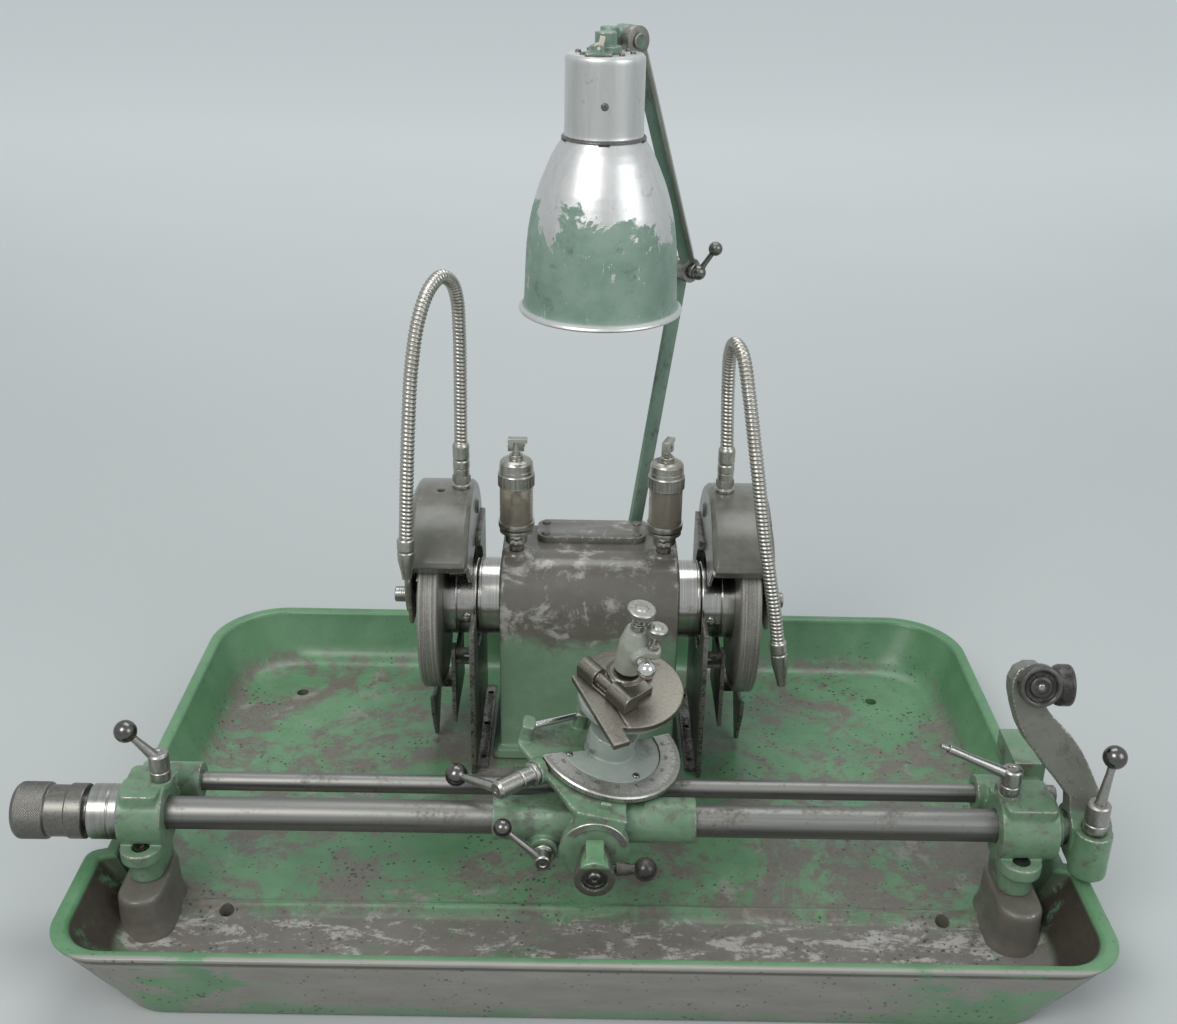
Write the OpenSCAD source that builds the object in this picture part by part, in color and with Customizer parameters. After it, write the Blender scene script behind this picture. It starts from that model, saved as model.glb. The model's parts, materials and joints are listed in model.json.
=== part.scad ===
// Bench drill bit sharpener: cast drip tray, double-ended wheel spindle with
// two drip oilers, guards and swan-neck coolant hoses, a rocking front tube with
// a drill carriage, micrometer feed, hand arm and a jointed lamp.
// Millimetres, +Z up, -Y is the operator's side, origin at the centre of the
// tray's mounting feet, on the face they stand on.

/* [Tray] */
// Half width of the rear pan at the rim
pan_hw = 425; // [380:1:460]
// Half width of the front basin at the rim
basin_hw = 441; // [400:1:480]
// Rear edge of the pan (Y)
pan_back = 282; // [240:1:320]
// Front edge of the basin (Y)
pan_front = -303; // [-330:1:-270]
// Height of the rim above the feet
rim_z = 75; // [65:1:100]
// Top of the pan floor
floor_z = 22; // [18:1:30]
// Wall thickness of the casting
pan_wall = 8; // [5:0.5:12]
// Spacing of the mounting bolts, left to right
bolt_sx = 640; // [400:10:700]
// Spacing of the mounting bolts, front to back
bolt_sy = 360; // [200:10:420]
// Radius of a mounting bolt hole
bolt_r = 6.5; // [4:0.5:9]

/* [Headstock and spindle] */
// Spindle axis, front to back
sp_y = 118; // [100:1:140]
// Spindle axis, height
sp_z = 183; // [165:1:200]
// Half length of the headstock body
hs_hl = 90; // [80:1:100]
// Radius of the rounded headstock body
hs_r = 52.5; // [45:0.5:60]
// Radius of the spindle in its bearings
sp_r = 15; // [12:0.5:20]
// Radius of the bearing caps and wheel hubs
hub_r = 40; // [34:0.5:44]
// Radius of a grinding wheel
wheel_r = 95; // [80:1:100]
// Inner face of a wheel from the middle of the machine
wheel_x = 148; // [140:1:155]
// Thickness of a wheel
wheel_t = 20; // [12:1:24]
// Outer radius of a wheel guard
guard_r = 121; // [115:1:130]
// Inner and outer side of a guard from the middle
guard_x = [118, 176];

/* [Slide bars] */
// Front tube, front to back
tube_y = -165; // [-180:1:-150]
// Front tube, height
tube_z = 115; // [105:1:130]
// Radius of the front tube
tube_r = 14.25; // [12:0.25:18]
// Rear bar, front to back
bar_y = -118; // [-130:1:-105]
// Radius of the rear bar
bar_r = 8.5; // [7:0.5:11]

/* [Carriage] */
// Tilt of the swivel bracket to the right, degrees
tilt = 12.5; // [0:0.5:13]
// Forward lean of the graduated ring, degrees
dial_lean = 6.5; // [0:0.5:10]
// Tilt pivot, left to right
piv_x = 7; // [0:1:15]
// Tilt pivot, height
piv_z = 107; // [100:1:115]
// Height of the graduated ring above the tilt pivot
dial_h = 52.5; // [48:0.5:60]
// Radius of the graduated ring
dial_r = 66; // [55:1:70]
// Radius of the drill table
table_r = 49.5; // [40:0.5:55]

/* [Lamp] */
// Radius of the lamp shade at its rim
shade_r = 75; // [60:1:90]
// Height of the rim of the shade
shade_z = 501; // [450:1:550]
// Shade axis, left to right and front to back
shade_xy = [5, 91];

/* [Output] */
// Sub-part to draw, or "all"

/* [Hidden] */
$fn = 64;
gap = 0.05;                    // running fit, radial
hub_c = [0, sp_y, sp_z];       // centre of the spindle
boss_z = 62;                   // top of the bracket bosses
xb_l = -385;                   // middle of the left and right bracket foot
xb_r = 377;
dial_o = [1, tube_y + 50, dial_h];
table_o = [35.5, -98, 209];    // centre of the drill table's top
table_a = [13.3, 2.5, 0];
la = [0.67, -0.742, 0];        // lamp hinge axis
mid = [88, 187, 514];          // middle joint of the lamp
top = [28, 137, 733];          // top joint of the lamp

// ---------------------------------------------------------------- helpers
module xcyl(r, x0, x1, y, z, r2 = -1)
  translate([x0, y, z]) rotate([0, 90, 0])
    cylinder(r1 = r, r2 = r2 < 0 ? r : r2, h = x1 - x0);
module ycyl(r, y0, y1, x, z, r2 = -1)
  translate([x, y0, z]) rotate([-90, 0, 0])
    cylinder(r1 = r, r2 = r2 < 0 ? r : r2, h = y1 - y0);
module zcyl(r, z0, z1, x, y, r2 = -1)
  translate([x, y, z0]) cylinder(r1 = r, r2 = r2 < 0 ? r : r2, h = z1 - z0);
module box(a, b) translate(a) cube(b - a);
// round rod from p to q, tapering from r to r2
module rod(p, q, r, r2 = -1, s = 0) {
  d = q - p;
  translate(p) rotate([0, acos(d[2] / norm(d)), atan2(d[1], d[0])]) rotate([0, 0, s])
    cylinder(r1 = r, r2 = r2 < 0 ? r : r2, h = norm(d));
}
module ball(p, r, a = 0) translate(p) rotate([0, 0, a]) sphere(r);
// flat plate with rounded vertical corners
module slab(a, b, r) {
  difference() {
    box(a, b);
    for (i = [0, 1], j = [0, 1])
      translate([i ? b[0] - r : a[0] - 1, j ? b[1] - r : a[1] - 1, a[2] - 1])
        cube([r + 1, r + 1, b[2] - a[2] + 2]);
  }
  for (x = [a[0] + r, b[0] - r], y = [a[1] + r, b[1] - r])
    zcyl(r, a[2], b[2], x, y);
}
module sides() { children(); mirror([1, 0, 0]) children(); }
// frames of the carriage
module tilted() translate([piv_x, 0, piv_z]) rotate([0, tilt, 0]) children();
module on_dial()
  tilted() translate(dial_o) rotate([dial_lean, 0, 0]) children();
module on_table() translate(table_o) rotate(table_a) children();
// swept tube along a list of points
module hose(pts, r, b) {
  $fn = 40;
  for (i = [0 : len(pts) - 2]) rod(pts[i], pts[i + 1], r);
  for (i = [1 : len(pts) - 2]) ball(pts[i], r + b);
}

// ---------------------------------------------------------------- tray
module pan_shape(hw, y0, y1, r0, r1, z0, z1, dw, dy0, dy1) hull() {
  for (s = [-1, 1]) {
    translate([s * (hw - r0), y0 + r0, z1 - 1]) cylinder(r = r0, h = 1);
    translate([s * (hw - r1), y1 - r1, z1 - 1]) cylinder(r = r1, h = 1);
    translate([s * (hw - dw - r0), y0 + dy0 + r0, z0]) cylinder(r = r0, h = 1);
    translate([s * (hw - dw - r1), y1 - dy1 - r1, z0]) cylinder(r = r1, h = 1);
  }
}
module tray() color([0.36, 0.53, 0.39]) {
  w = pan_wall;
  difference() {
    union() {
      pan_shape(pan_hw, -186, pan_back, 20, 78, 12, rim_z, 22, 0, 26);
      pan_shape(basin_hw, pan_front, -166, 46, 12, 12, rim_z, 42, 26, 0);
    }
    pan_shape(pan_hw - w, -220, pan_back - w, 12, 72, floor_z, rim_z + 3,
      24, 0, 26);
    pan_shape(basin_hw - w, pan_front + w, -174, 40, 6, floor_z - 4, rim_z + 3,
      44, 28, 0);
    // belt opening below the headstock
    box([-38, sp_y - 28, 0], [38, sp_y + 28, 40]);
    for (x = [-1, 1], y = [-1, 1])
      zcyl(bolt_r, -1, 40, x * bolt_sx / 2, y * bolt_sy / 2);
  }
  // bosses the two slide bar brackets are bolted to
  difference() {
    for (x = [xb_l, xb_r]) slab([x - 20, -222, 14], [x + 20, -140, boss_z], 19.9);
    for (x = [xb_l, xb_r]) zcyl(4.05, 30, 70, x, -190);
  }
  // machined feet round the mounting bolts
  difference() {
    for (x = [-1, 1], y = [-1, 1])
      zcyl(26, 0, 14, x * bolt_sx / 2, y * bolt_sy / 2);
    for (x = [-1, 1], y = [-1, 1])
      zcyl(bolt_r, -1, 40, x * bolt_sx / 2, y * bolt_sy / 2);
  }
}

// ---------------------------------------------------------------- headstock
module headstock() color([0.33, 0.40, 0.33]) difference() {
  union() {
    xcyl(hs_r, -hs_hl, hs_hl, sp_y, sp_z);
    box([-hs_hl, sp_y - hs_r, floor_z], [hs_hl, sp_y + hs_r, sp_z]);
    box([-hs_hl, sp_y, sp_z - 10], [hs_hl, sp_y + 64, sp_z + hs_r - 0.5]);
    box([-hs_hl, sp_y, floor_z], [hs_hl, sp_y + 64, sp_z - 8]);
    // spread foot
    slab([-98, sp_y - 61, floor_z], [98, sp_y + 66, floor_z + 11], 6);
    // oiler seats
    for (x = [-75, 75]) zcyl(13, sp_z + 20, sp_z + hs_r + 2, x, sp_y);
  }
  // hollow for the belt pulley, open to the tray
  box([-56, sp_y - 36, floor_z - 1], [56, sp_y + 46, sp_z + 30]);
  xcyl(44, -56, 56, sp_y, sp_z);
  // bearing seats
  xcyl(21 + 0.01, -hs_hl - 1, hs_hl + 1, sp_y, sp_z);
  // coolant side of the foot sweeps in
  for (s = [-1, 1]) ycyl(5, sp_y - 80, sp_y + 90, s * 98.5, floor_z + 11);
  // oil ways
  for (x = [-75, 75]) {
    zcyl(2, sp_z, sp_z + hs_r + 3, x, sp_y);
    zcyl(6.05, sp_z + hs_r - 8, sp_z + hs_r + 3, x, sp_y);
  }
  // opening under the cover
  box([-44, sp_y + 26, sp_z + 20], [44, sp_y + 54, sp_z + 60]);
}
module headstock_cover() color([0.38, 0.37, 0.33]) {
  slab([-55, sp_y + 20, sp_z + hs_r - 0.5], [58, sp_y + 64, sp_z + hs_r + 6], 12);
  for (x = [-46, 49], y = [29, 55])
    zcyl(3.2, sp_z + hs_r + 5, sp_z + hs_r + 8, x, sp_y + y);
}
module bearing_bushes() color([0.60, 0.47, 0.25]) sides() difference() {
  xcyl(21, 60, hs_hl - 0.5, sp_y, sp_z);
  xcyl(sp_r + gap, 59, hs_hl + 1, sp_y, sp_z);
  zcyl(2, sp_z, sp_z + 30, 75, sp_y);
}
module bearing_caps() color([0.24, 0.24, 0.23]) sides() difference() {
  union() {
    xcyl(hub_r - 0.5, hs_hl, hs_hl + 3, sp_y, sp_z, hub_r);
    xcyl(hub_r, hs_hl + 3, 113, sp_y, sp_z);
  }
  xcyl(sp_r + 1, hs_hl - 1, 114, sp_y, sp_z);
  xcyl(1.6, 108, 114, sp_y - 30, sp_z - 6);
}

// ---------------------------------------------------------------- spindle
module spindle() color([0.72, 0.72, 0.70]) difference() {
  union() {
    xcyl(sp_r, -134, 134, sp_y, sp_z);
    xcyl(12, -186, 186, sp_y, sp_z);
    xcyl(8, -200, 200, sp_y, sp_z);
    sides() xcyl(8, 200, 201, sp_y, sp_z, 7);
  }
  // centre holes in both ends
  sides() xcyl(0, 194, 202, sp_y, sp_z, 4);
}
module pulley() color([0.45, 0.45, 0.43]) difference() {
  rotate_pulley();
  xcyl(sp_r, -40, 40, sp_y, sp_z);
}
module rotate_pulley() translate([-32, sp_y, sp_z]) rotate([0, 90, 0])
  rotate_extrude() polygon([[0, 0], [34, 0], [36, 3], [28, 11], [28, 15],
    [36, 23], [36, 27], [32, 31], [36, 35], [36, 39], [28, 47], [28, 51],
    [36, 59], [34, 64], [0, 64]]);
// bright collar and wheel flange on each end of the spindle
module wheel_hubs() color([0.70, 0.69, 0.65]) sides() difference() {
  union() {
    xcyl(hub_r - 0.8, 114, 135, sp_y, sp_z);
    xcyl(hub_r, 135.4, wheel_x, sp_y, sp_z);
    xcyl(hub_r - 2, 134, 136, sp_y, sp_z);
    // slotted grub screw standing a little proud
    ycyl(4.6, sp_y - hub_r - 0.4, sp_y - 30, 124, sp_z - 4);
  }
  xcyl(sp_r, 113, 134, sp_y, sp_z);
  xcyl(12, 130, wheel_x + 1, sp_y, sp_z);
  box([119, sp_y - hub_r - 2, sp_z - 4.5], [129, sp_y - hub_r + 0.8, sp_z - 3.5]);
}
module wheels() color([0.52, 0.50, 0.46]) sides() difference() {
  union() {
    xcyl(wheel_r - 1.5, wheel_x, wheel_x + 1.5, sp_y, sp_z, wheel_r);
    xcyl(wheel_r, wheel_x + 1.5, wheel_x + wheel_t - 1.5, sp_y, sp_z);
    xcyl(wheel_r, wheel_x + wheel_t - 1.5, wheel_x + wheel_t, sp_y, sp_z,
      wheel_r - 1.5);
  }
  xcyl(12, wheel_x - 1, wheel_x + wheel_t + 1, sp_y, sp_z);
  // turned ring on the inner face
  difference() {
    xcyl(wheel_r - 5, wheel_x - 1, wheel_x + 1.2, sp_y, sp_z);
    xcyl(wheel_r - 8, wheel_x - 2, wheel_x + 2, sp_y, sp_z);
  }
}
module wheel_nuts() color([0.30, 0.30, 0.29]) sides() difference() {
  x = wheel_x + wheel_t;
  union() {
    xcyl(34, x, x + 7, sp_y, sp_z, 30);
    translate([x + 6, sp_y, sp_z]) rotate([0, 90, 0]) cylinder(r = 15, h = 11, $fn = 6);
  }
  xcyl(12, x - 1, 186, sp_y, sp_z);
  xcyl(8, x - 1, x + 18, sp_y, sp_z);
}

// ---------------------------------------------------------------- guards
// one half-open wheel guard on the +X side, local to the spindle axis
module guard_shape() translate([0, sp_y, sp_z]) {
  x0 = guard_x[0]; x1 = guard_x[1]; w = x1 - x0;
  // hood from 138 to -25 degrees over the top, axis along X
  difference() {
    translate([x0, 0, 0]) rotate([90, 0, 90])
      rotate_extrude(angle = 163, start = -25, $fn = 96)
        polygon([[44, 0], [guard_r - 4, 0], [guard_r, 4], [guard_r, w - 3],
          [guard_r - 3, w], [60, w], [60, w - 4], [guard_r - 5, w - 4],
          [guard_r - 5, 4], [44, 4]]);
    // keeps the bearing cap clear
    translate([x0 - 5, 0, 0]) rotate([0, 90, 0]) cylinder(r = 50, h = 12);
  }
  // thick lip along the front edge
  rotate([-42, 0, 0]) translate([x0 + 2, -guard_r + 1, -4])
    cube([w - 4, guard_r - 102, 8]);
  // cast bosses on both sides
  xcyl(7, x0 - 3, x0 + 2, 30, 88);
  xcyl(9, x1 - 2, x1 + 5, -20, 84);
  // shallow domed cover on the outer side
  difference() {
    union() {
      xcyl(96, x1 - 2, x1 + 3, 6, 20, 92);
      xcyl(60, x1 + 1, x1 + 9, 6, 30, 52);
    }
    xcyl(50, x1 - 4, x1 + 6, 6, 30);
    xcyl(20, x1 - 4, x1 + 12, 0, 0);
    translate([x1 - 6, -140, -160]) cube([30, 280, 160]);
    translate([x1 - 6, -160, -60]) rotate([18, 0, 0]) cube([30, 110, 160]);
  }
}
module guard_hole() zcyl(4, sp_z + 100, sp_z + 130, 150, sp_y - 4);
module guard_left() color([0.40, 0.38, 0.33]) mirror([1, 0, 0]) difference() {
  guard_shape(); guard_hole();
  zcyl(6.05, sp_z + 100, sp_z + 130, 130, sp_y + 4);
}
module guard_right() color([0.40, 0.38, 0.33]) difference() {
  guard_shape();
  zcyl(6.05, sp_z + 100, sp_z + 130, 134, sp_y + 4);
}
// upright side plates between tray and guards, with straps and drip tongues
module guard_plates() color([0.27, 0.27, 0.25]) sides() {
  difference() {
    union() {
      box([113, 30, floor_z], [117.8, 205, sp_z + 6]);
      box([113, 130, sp_z], [117.8, 205, sp_z + 60]);
      // foot flange
      box([102, 40, floor_z], [117.8, 196, floor_z + 4]);
    }
    xcyl(52, 110, 130, sp_y, sp_z);
    for (y = [56, 118, 180]) zcyl(3.4, floor_z - 1, floor_z + 6, 108, y);
  }
  // two straps carrying the inner frame of the lower guard
  for (z = [137, 148]) box([117, 56, z], [136, 64, z + 4]);
  box([134, 52, 72], [138, 66, 156]);
  box([134, 52, 70], [138, 150, 132]);
  // drip tongue below the wheel
  translate([158, 0, 0]) rotate([90, 0, 90]) linear_extrude(4)
    polygon([[64, 92], [70, 70], [96, 26], [102, 26], [140, 68], [150, 78],
      [120, 80], [84, 84]]);
  box([134, 120, 70], [162, 148, 78]);
}

// ---------------------------------------------------------------- coolant hoses
hose_l = [[-130, 122, 345], [-129, 122, 470], [-130, 117, 500], [-134, 106, 519],
  [-142, 90, 528], [-151, 71, 521], [-159, 54, 499], [-165, 39, 460],
  [-168, 26, 412], [-170, 16, 365], [-173, 9, 293]];
hose_r = [[134, 122, 345], [131, 121, 420], [130, 112, 450], [132, 96, 467],
  [138, 77, 463], [144, 56, 431], [150, 40, 390], [155, 30, 357], [163, 20, 303],
  [171, 14, 260], [178, 10, 222], [183, 8, 190]];
module hose_unions() color([0.62, 0.60, 0.55]) for (x = [-130, 134]) {
  difference() {
    union() {
      zcyl(6, sp_z + 106, sp_z + 140, x, sp_y + 4);
      zcyl(9.5, sp_z + guard_r + 0.1, sp_z + 125, x, sp_y + 4);
      zcyl(8, sp_z + guard_r + 0.1, sp_z + 142, x, sp_y + 4);
    }
    zcyl(4, sp_z + 100, sp_z + 150, x, sp_y + 4);
  }
}
module gooseneck(p, tip, b) {
  hose(p, 6.3, b);
  n = len(p);
  zcyl(8.6, sp_z + 142.3, sp_z + 165, p[0][0], p[0][1]);
  ball([p[0][0], p[0][1], sp_z + 165], 9);
  rod(p[n - 1], tip, 8.2, 4.2);
}
module gooseneck_left() color([0.60, 0.59, 0.55])
  gooseneck(hose_l, [-173, 7, 259], 0.45);
module gooseneck_right() color([0.60, 0.59, 0.55])
  gooseneck(hose_r, [189, 5, 150], 0.3);

// ---------------------------------------------------------------- oilers
oil_z = sp_z + hs_r + 2;
module oiler_at() for (x = [-75, 75]) translate([x, sp_y, oil_z]) children();
module oiler_bases() color([0.62, 0.60, 0.52]) oiler_at() difference() {
  union() {
    translate([0, 0, -8]) cylinder(r = 6, h = 16);
    cylinder(r = 7.4, h = 6.5, $fn = 6);
    translate([0, 0, 6]) cylinder(r1 = 8, r2 = 12.5, h = 5);
    translate([0, 0, 11]) cylinder(r = 12.5, h = 18);
    translate([0, 0, 21]) cylinder(r = 17, h = 4);
    translate([0, 0, 27]) cylinder(r = 18.2, h = 6);
  }
  translate([0, 0, 30]) cylinder(r = 14, h = 4);
  translate([0, 0, -9]) cylinder(r = 2.2, h = 42);
  // sight window with arched openings
  for (a = [0, 90]) rotate([0, 0, a]) {
    translate([-6, -20, 10]) cube([12, 40, 5]);
    translate([0, 20, 15]) rotate([90, 0, 0]) cylinder(r = 6, h = 40);
  }
}
module oiler_glasses() color([0.62, 0.60, 0.50, 0.6]) oiler_at() difference() {
  translate([0, 0, 33]) cylinder(r = 16.8, h = 39);
  translate([0, 0, 32]) cylinder(r = 14.2, h = 41);
}
module oiler_caps() color([0.66, 0.65, 0.58]) oiler_at() difference() {
  union() {
    translate([0, 0, 72]) cylinder(r = 18.4, h = 13);
    translate([0, 0, 85]) cylinder(r1 = 17.6, r2 = 16, h = 12);
    translate([0, 0, 97]) cylinder(r1 = 16, r2 = 11, h = 3.5);
    translate([0, 0, 100]) cylinder(r = 7, h = 5);
  }
  translate([0, 0, 71]) cylinder(r = 14.2, h = 10);
  translate([0, 0, 70]) cylinder(r = 1.8, h = 40);
}
module oiler_needles() color([0.68, 0.68, 0.66]) {
  oiler_at() needle_rod();
  translate([-75, sp_y, oil_z]) needle_eye();
  translate([75, sp_y, oil_z]) rotate([0, 0, 70]) needle_eye();
}
module needle_rod() {
  translate([0, 0, 22]) cylinder(r1 = 0.6, r2 = 1.7, h = 8);
  translate([0, 0, 30]) cylinder(r = 1.7, h = 77);
  translate([0, 0, 36]) cylinder(r = 5.5, h = 26);
  translate([0, 0, 105]) cylinder(r = 4.2, h = 1.8);
}
// eye and cross pin the toggle turns on
module needle_eye() {
  translate([-1.7, -2, 106]) cube([3.4, 4, 10.6]);
  xcyl(1.35, -9, 9, 0, 114);
}
module toggle() {
  difference() {
    union() {
      translate([-8, -4, 109]) cube([6, 8, 9]);
      translate([2, -4, 109]) cube([6, 8, 9]);
      for (x = [-8, 2]) xcyl(4, x, x + 6, 0, 114);
      translate([-8, -4, 117.6]) cube([19, 8, 4]);
    }
    xcyl(1.4, -10, 12, 0, 114);
  }
}
module oiler_toggle_left() color([0.62, 0.60, 0.52])
  translate([-75, sp_y, oil_z]) toggle();
module oiler_toggle_right() color([0.62, 0.60, 0.52])
  translate([75, sp_y, oil_z]) rotate([0, 0, 70]) toggle();

// ---------------------------------------------------------------- brackets
module bracket(x0, x1, xc, l0, l1) {
  // clamp round the front tube
  xcyl(29, x0, x1, tube_y, tube_z);
  slab([x0 + 3, -186, tube_z], [x1 - 3, -138, tube_z + 30.5], 5);
  // web and eye for the rear bar
  box([x0 + 3, -150, tube_z - 17], [x1 - 3, bar_y, tube_z + 15]);
  xcyl(17, l0, l1, bar_y, tube_z);
  // neck, and the front lug over its socket screw
  slab([xc - 15, -196, boss_z], [xc + 15, -140, tube_z - 20], 14.9);
  slab([xc - 18, -206, tube_z - 30], [xc + 18, -160, tube_z - 18], 17.9);
}
module bracket_bores(x0, x1, xc) {
  xcyl(tube_r + gap, x0 - 1, x1 + 20, tube_y, tube_z);
  xcyl(bar_r + gap, x0 - 40, x1 + 40, bar_y, tube_z);
  // counterbored foot screw
  zcyl(4.3, boss_z - 1, tube_z - 20, xc, -190);
  zcyl(7.2, tube_z - 25, tube_z - 16.5, xc, -190);
}
module bracket_left() color([0.34, 0.55, 0.40]) difference() {
  union() {
    bracket(-404, -365, xb_l, -400, -347);
    zcyl(10, 140, 147, -370, -160);
  }
  bracket_bores(-404, -365, xb_l);
  zcyl(5.05, 143, 150, -370, -160);
}
module bracket_right() color([0.34, 0.55, 0.40]) difference() {
  union() {
    bracket(357, 407, xb_r, 350, 407);
    // turned boss facing the hand arm
    xcyl(17.5, 400, 414, tube_y, tube_z);
    // raised rear block with a worn top
    box([384, bar_y, tube_z + 6], [412, -62, tube_z + 33]);
    zcyl(9.6, 138, 147, 367, -160);
  }
  bracket_bores(357, 407, xb_r);
  zcyl(5.05, 141, 150, 367, -160);
  // sloping back of the rear block, and its small screw hole
  translate([380, -62, tube_z + 33]) rotate([45, 0, 0]) cube([40, 16, 16], center = false);
  ycyl(2.2, -110, -60, 404, tube_z + 24);
}
module bracket_screws() color([0.25, 0.25, 0.24]) for (x = [xb_l, xb_r]) difference() {
  union() {
    zcyl(4, 34, tube_z - 24, x, -190);
    zcyl(6.9, tube_z - 25, tube_z - 17.5, x, -190);
  }
  translate([x, -190, tube_z - 21]) cylinder(r = 3.5, h = 6, $fn = 6);
}
module rear_bar() color([0.62, 0.61, 0.58])
  xcyl(bar_r, -396, 424, bar_y, tube_z);
// lever hub standing on a clamp: hub, lever arm and ball
module lever(base, h, r, tip, ra, rb, s = 0) {
  zcyl(5, base[2] - 4, base[2] + 1, base[0], base[1]);
  zcyl(r - 0.8, base[2] + 0.3, base[2] + 3, base[0], base[1]);
  zcyl(r, base[2] + 3, base[2] + h, base[0], base[1]);
  rod([base[0], base[1], base[2] + h - 9], tip, ra, ra, s);
  if (rb > 0) translate(tip)
    rotate([0, -90, atan2(tip[1] - base[1], tip[0] - base[0]) + 90]) sphere(rb);
}
module bracket_lever_left() color([0.60, 0.59, 0.56])
  lever([-370, -160, 147], 27, 9, [-393, -166, 199], 4.2, 9.8);
module bracket_lever_right() color([0.60, 0.59, 0.56]) {
  lever([367, -160, 147], 25, 9, [309, -160, 191], 4, 0);
  rod([309, -160, 191], [302, -160, 194], 2.4);
}

// ---------------------------------------------------------------- feed
module feed_sleeve() color([0.62, 0.60, 0.55]) difference() {
  union() {
    xcyl(24, -431, -404, tube_y, tube_z);
    xcyl(17.4, -448, -430, tube_y, tube_z);
  }
  xcyl(tube_r + gap, -429, -403, tube_y, tube_z);
  xcyl(8 + gap, -449, -428, tube_y, tube_z);
}
module feed_knob() color([0.58, 0.57, 0.54]) difference() {
  union() {
    xcyl(21, -497, -493, tube_y, tube_z, 24.8);
    xcyl(24.8, -493, -468, tube_y, tube_z);
    xcyl(24.8, -468, -465, tube_y, tube_z, 22.4);
    xcyl(22.4, -465, -449.5, tube_y, tube_z);
    xcyl(24, -450, -435, tube_y, tube_z);
  }
  xcyl(17.45, -449.5, -434, tube_y, tube_z);
  xcyl(8 + gap, -491, -448, tube_y, tube_z);
}
module feed_quill() color([0.66, 0.66, 0.64]) {
  xcyl(8, -487, -385, tube_y, tube_z);
  xcyl(13, -425.4, -420.5, tube_y, tube_z);
}
module front_tube() color([0.66, 0.65, 0.62]) difference() {
  xcyl(tube_r, -420, 456, tube_y, tube_z);
  xcyl(8 + gap, -421, -375, tube_y, tube_z);
  xcyl(9.5, -376, 457, tube_y, tube_z);
}

// ---------------------------------------------------------------- hand arm
module arm_frame()
  translate([0, tube_y - 1, tube_z]) rotate([-15, 0, 0]) children();
module arm() color([0.36, 0.50, 0.38]) difference() {
  union() {
    xcyl(21, 418, 453, tube_y, tube_z);
    zcyl(16.3, 84, 127, 436, -186);
    box([419.5, -186, 90], [452.5, tube_y, 127]);
    arm_frame() {
      translate([0, 9, 0]) rotate([90, 0, 0]) linear_extrude(19) polygon([
        [453, 0], [452, 14], [448, 28], [440, 44], [431, 63], [424, 75],
        [415, 87], [405, 97], [396, 106], [391, 113], [391, 121], [397, 124],
        [397, 134], [392, 142], [384, 149], [374, 149], [365, 144],
        [361, 135], [361, 124], [364, 111], [369, 96], [377, 81], [387, 69],
        [396, 57], [407, 44], [417.4, 31], [418, 20], [418, 0]]);
      ycyl(9, -13, -9, 380, 135);
    }
  }
  xcyl(tube_r + gap, 417, 454, tube_y, tube_z);
  // spot face the lever's hub turns on
  zcyl(11, 126, 150, 436, -186);
  // clamp slit through the lug
  box([417, -204, 98.6], [455, -181, 99.8]);
  zcyl(5.05, 112, 130, 436, -186);
  arm_frame() {
    ycyl(3.05, -14, 4, 380, 135);
    xcyl(3.05, 385, 399, 0, 129);
  }
}
module arm_lever() color([0.60, 0.59, 0.56])
  lever([436, -186, 126], 30, 10.3, [443.5, -180.5, 199], 3.8, 10.2, 90);
module grip_knob() {
  difference() {
    union() {
      cylinder(r1 = 15.5, r2 = 18.2, h = 4);
      translate([0, 0, 4]) cylinder(r = 18.2, h = 9);
      translate([0, 0, 13]) cylinder(r1 = 18.2, r2 = 16.6, h = 2);
    }
    translate([0, 0, 12]) cylinder(r1 = 12, r2 = 14, h = 4);
  }
  translate([0, 0, 10]) cylinder(r1 = 9, r2 = 6, h = 5);
  translate([0, 0, -9]) cylinder(r = 3, h = 12);
}
module arm_knob_front() color([0.12, 0.11, 0.10])
  arm_frame() translate([380, -14, 135]) rotate([90, 0, 0]) grip_knob();
module arm_knob_side() color([0.12, 0.11, 0.10])
  arm_frame() translate([399, 0, 129]) rotate([0, 90, 0]) grip_knob();

// ---------------------------------------------------------------- carriage
module saddle() color([0.36, 0.50, 0.38]) difference() {
  union() {
    translate([0, tube_y, tube_z]) rotate([0, 90, 0]) rotate_extrude()
      polygon([[10, -82], [18.8, -82], [18.8, -60], [22.3, -30], [22.3, 6],
        [19.8, 10], [19.8, 86], [18.7, 86], [18.7, 87.2], [19.8, 87.2],
        [19.8, 95], [10, 95]]);
    // cheek with the saddle lever's boss
    ycyl(13, -192, -165, -37, 100);
    // pad that carries the tilt pivot
    ycyl(27, -187, -160, piv_x, piv_z);
    ycyl(9, -200.4, -186, piv_x, piv_z);
    ycyl(6, -234, -200, piv_x, piv_z);
  }
  xcyl(tube_r + gap, -83, 96, tube_y, tube_z);
  // headroom for the swivel bracket
  translate([-60, -184, tube_z + 17.6]) cube([110, 60, 20]);
  ycyl(5.05, -193, -184, -37, 100);
}
// horn on the pivot, with a flat index facet on top
module pivot_horn() color([0.30, 0.36, 0.30]) difference() {
  union() {
    ycyl(17.5, -237, -232, piv_x, piv_z);
    ycyl(17.5, -232, -200.5, piv_x, piv_z, 12);
    box([piv_x - 8, -232, piv_z], [piv_x + 8, -204, piv_z + 16.6]);
  }
  ycyl(6 + gap, -234, -200, piv_x, piv_z);
  ycyl(11, -238, -234, piv_x, piv_z);
  // side hole for the clamp knob
  xcyl(4.05, piv_x + 7, piv_x + 20, -217, piv_z - 4);
}
module saddle_lever() color([0.60, 0.59, 0.56]) {
  ycyl(5, -195, -185, -37, 100);
  ycyl(9.5, -197, -192.3, -37, 100);
  ycyl(7.4, -209, -196, -37, 100);
  rod([-37, -205, 100], [-71, -207, 136], 3.3, 3);
  ball([-71, -207, 136], 8, 180);
}
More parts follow.
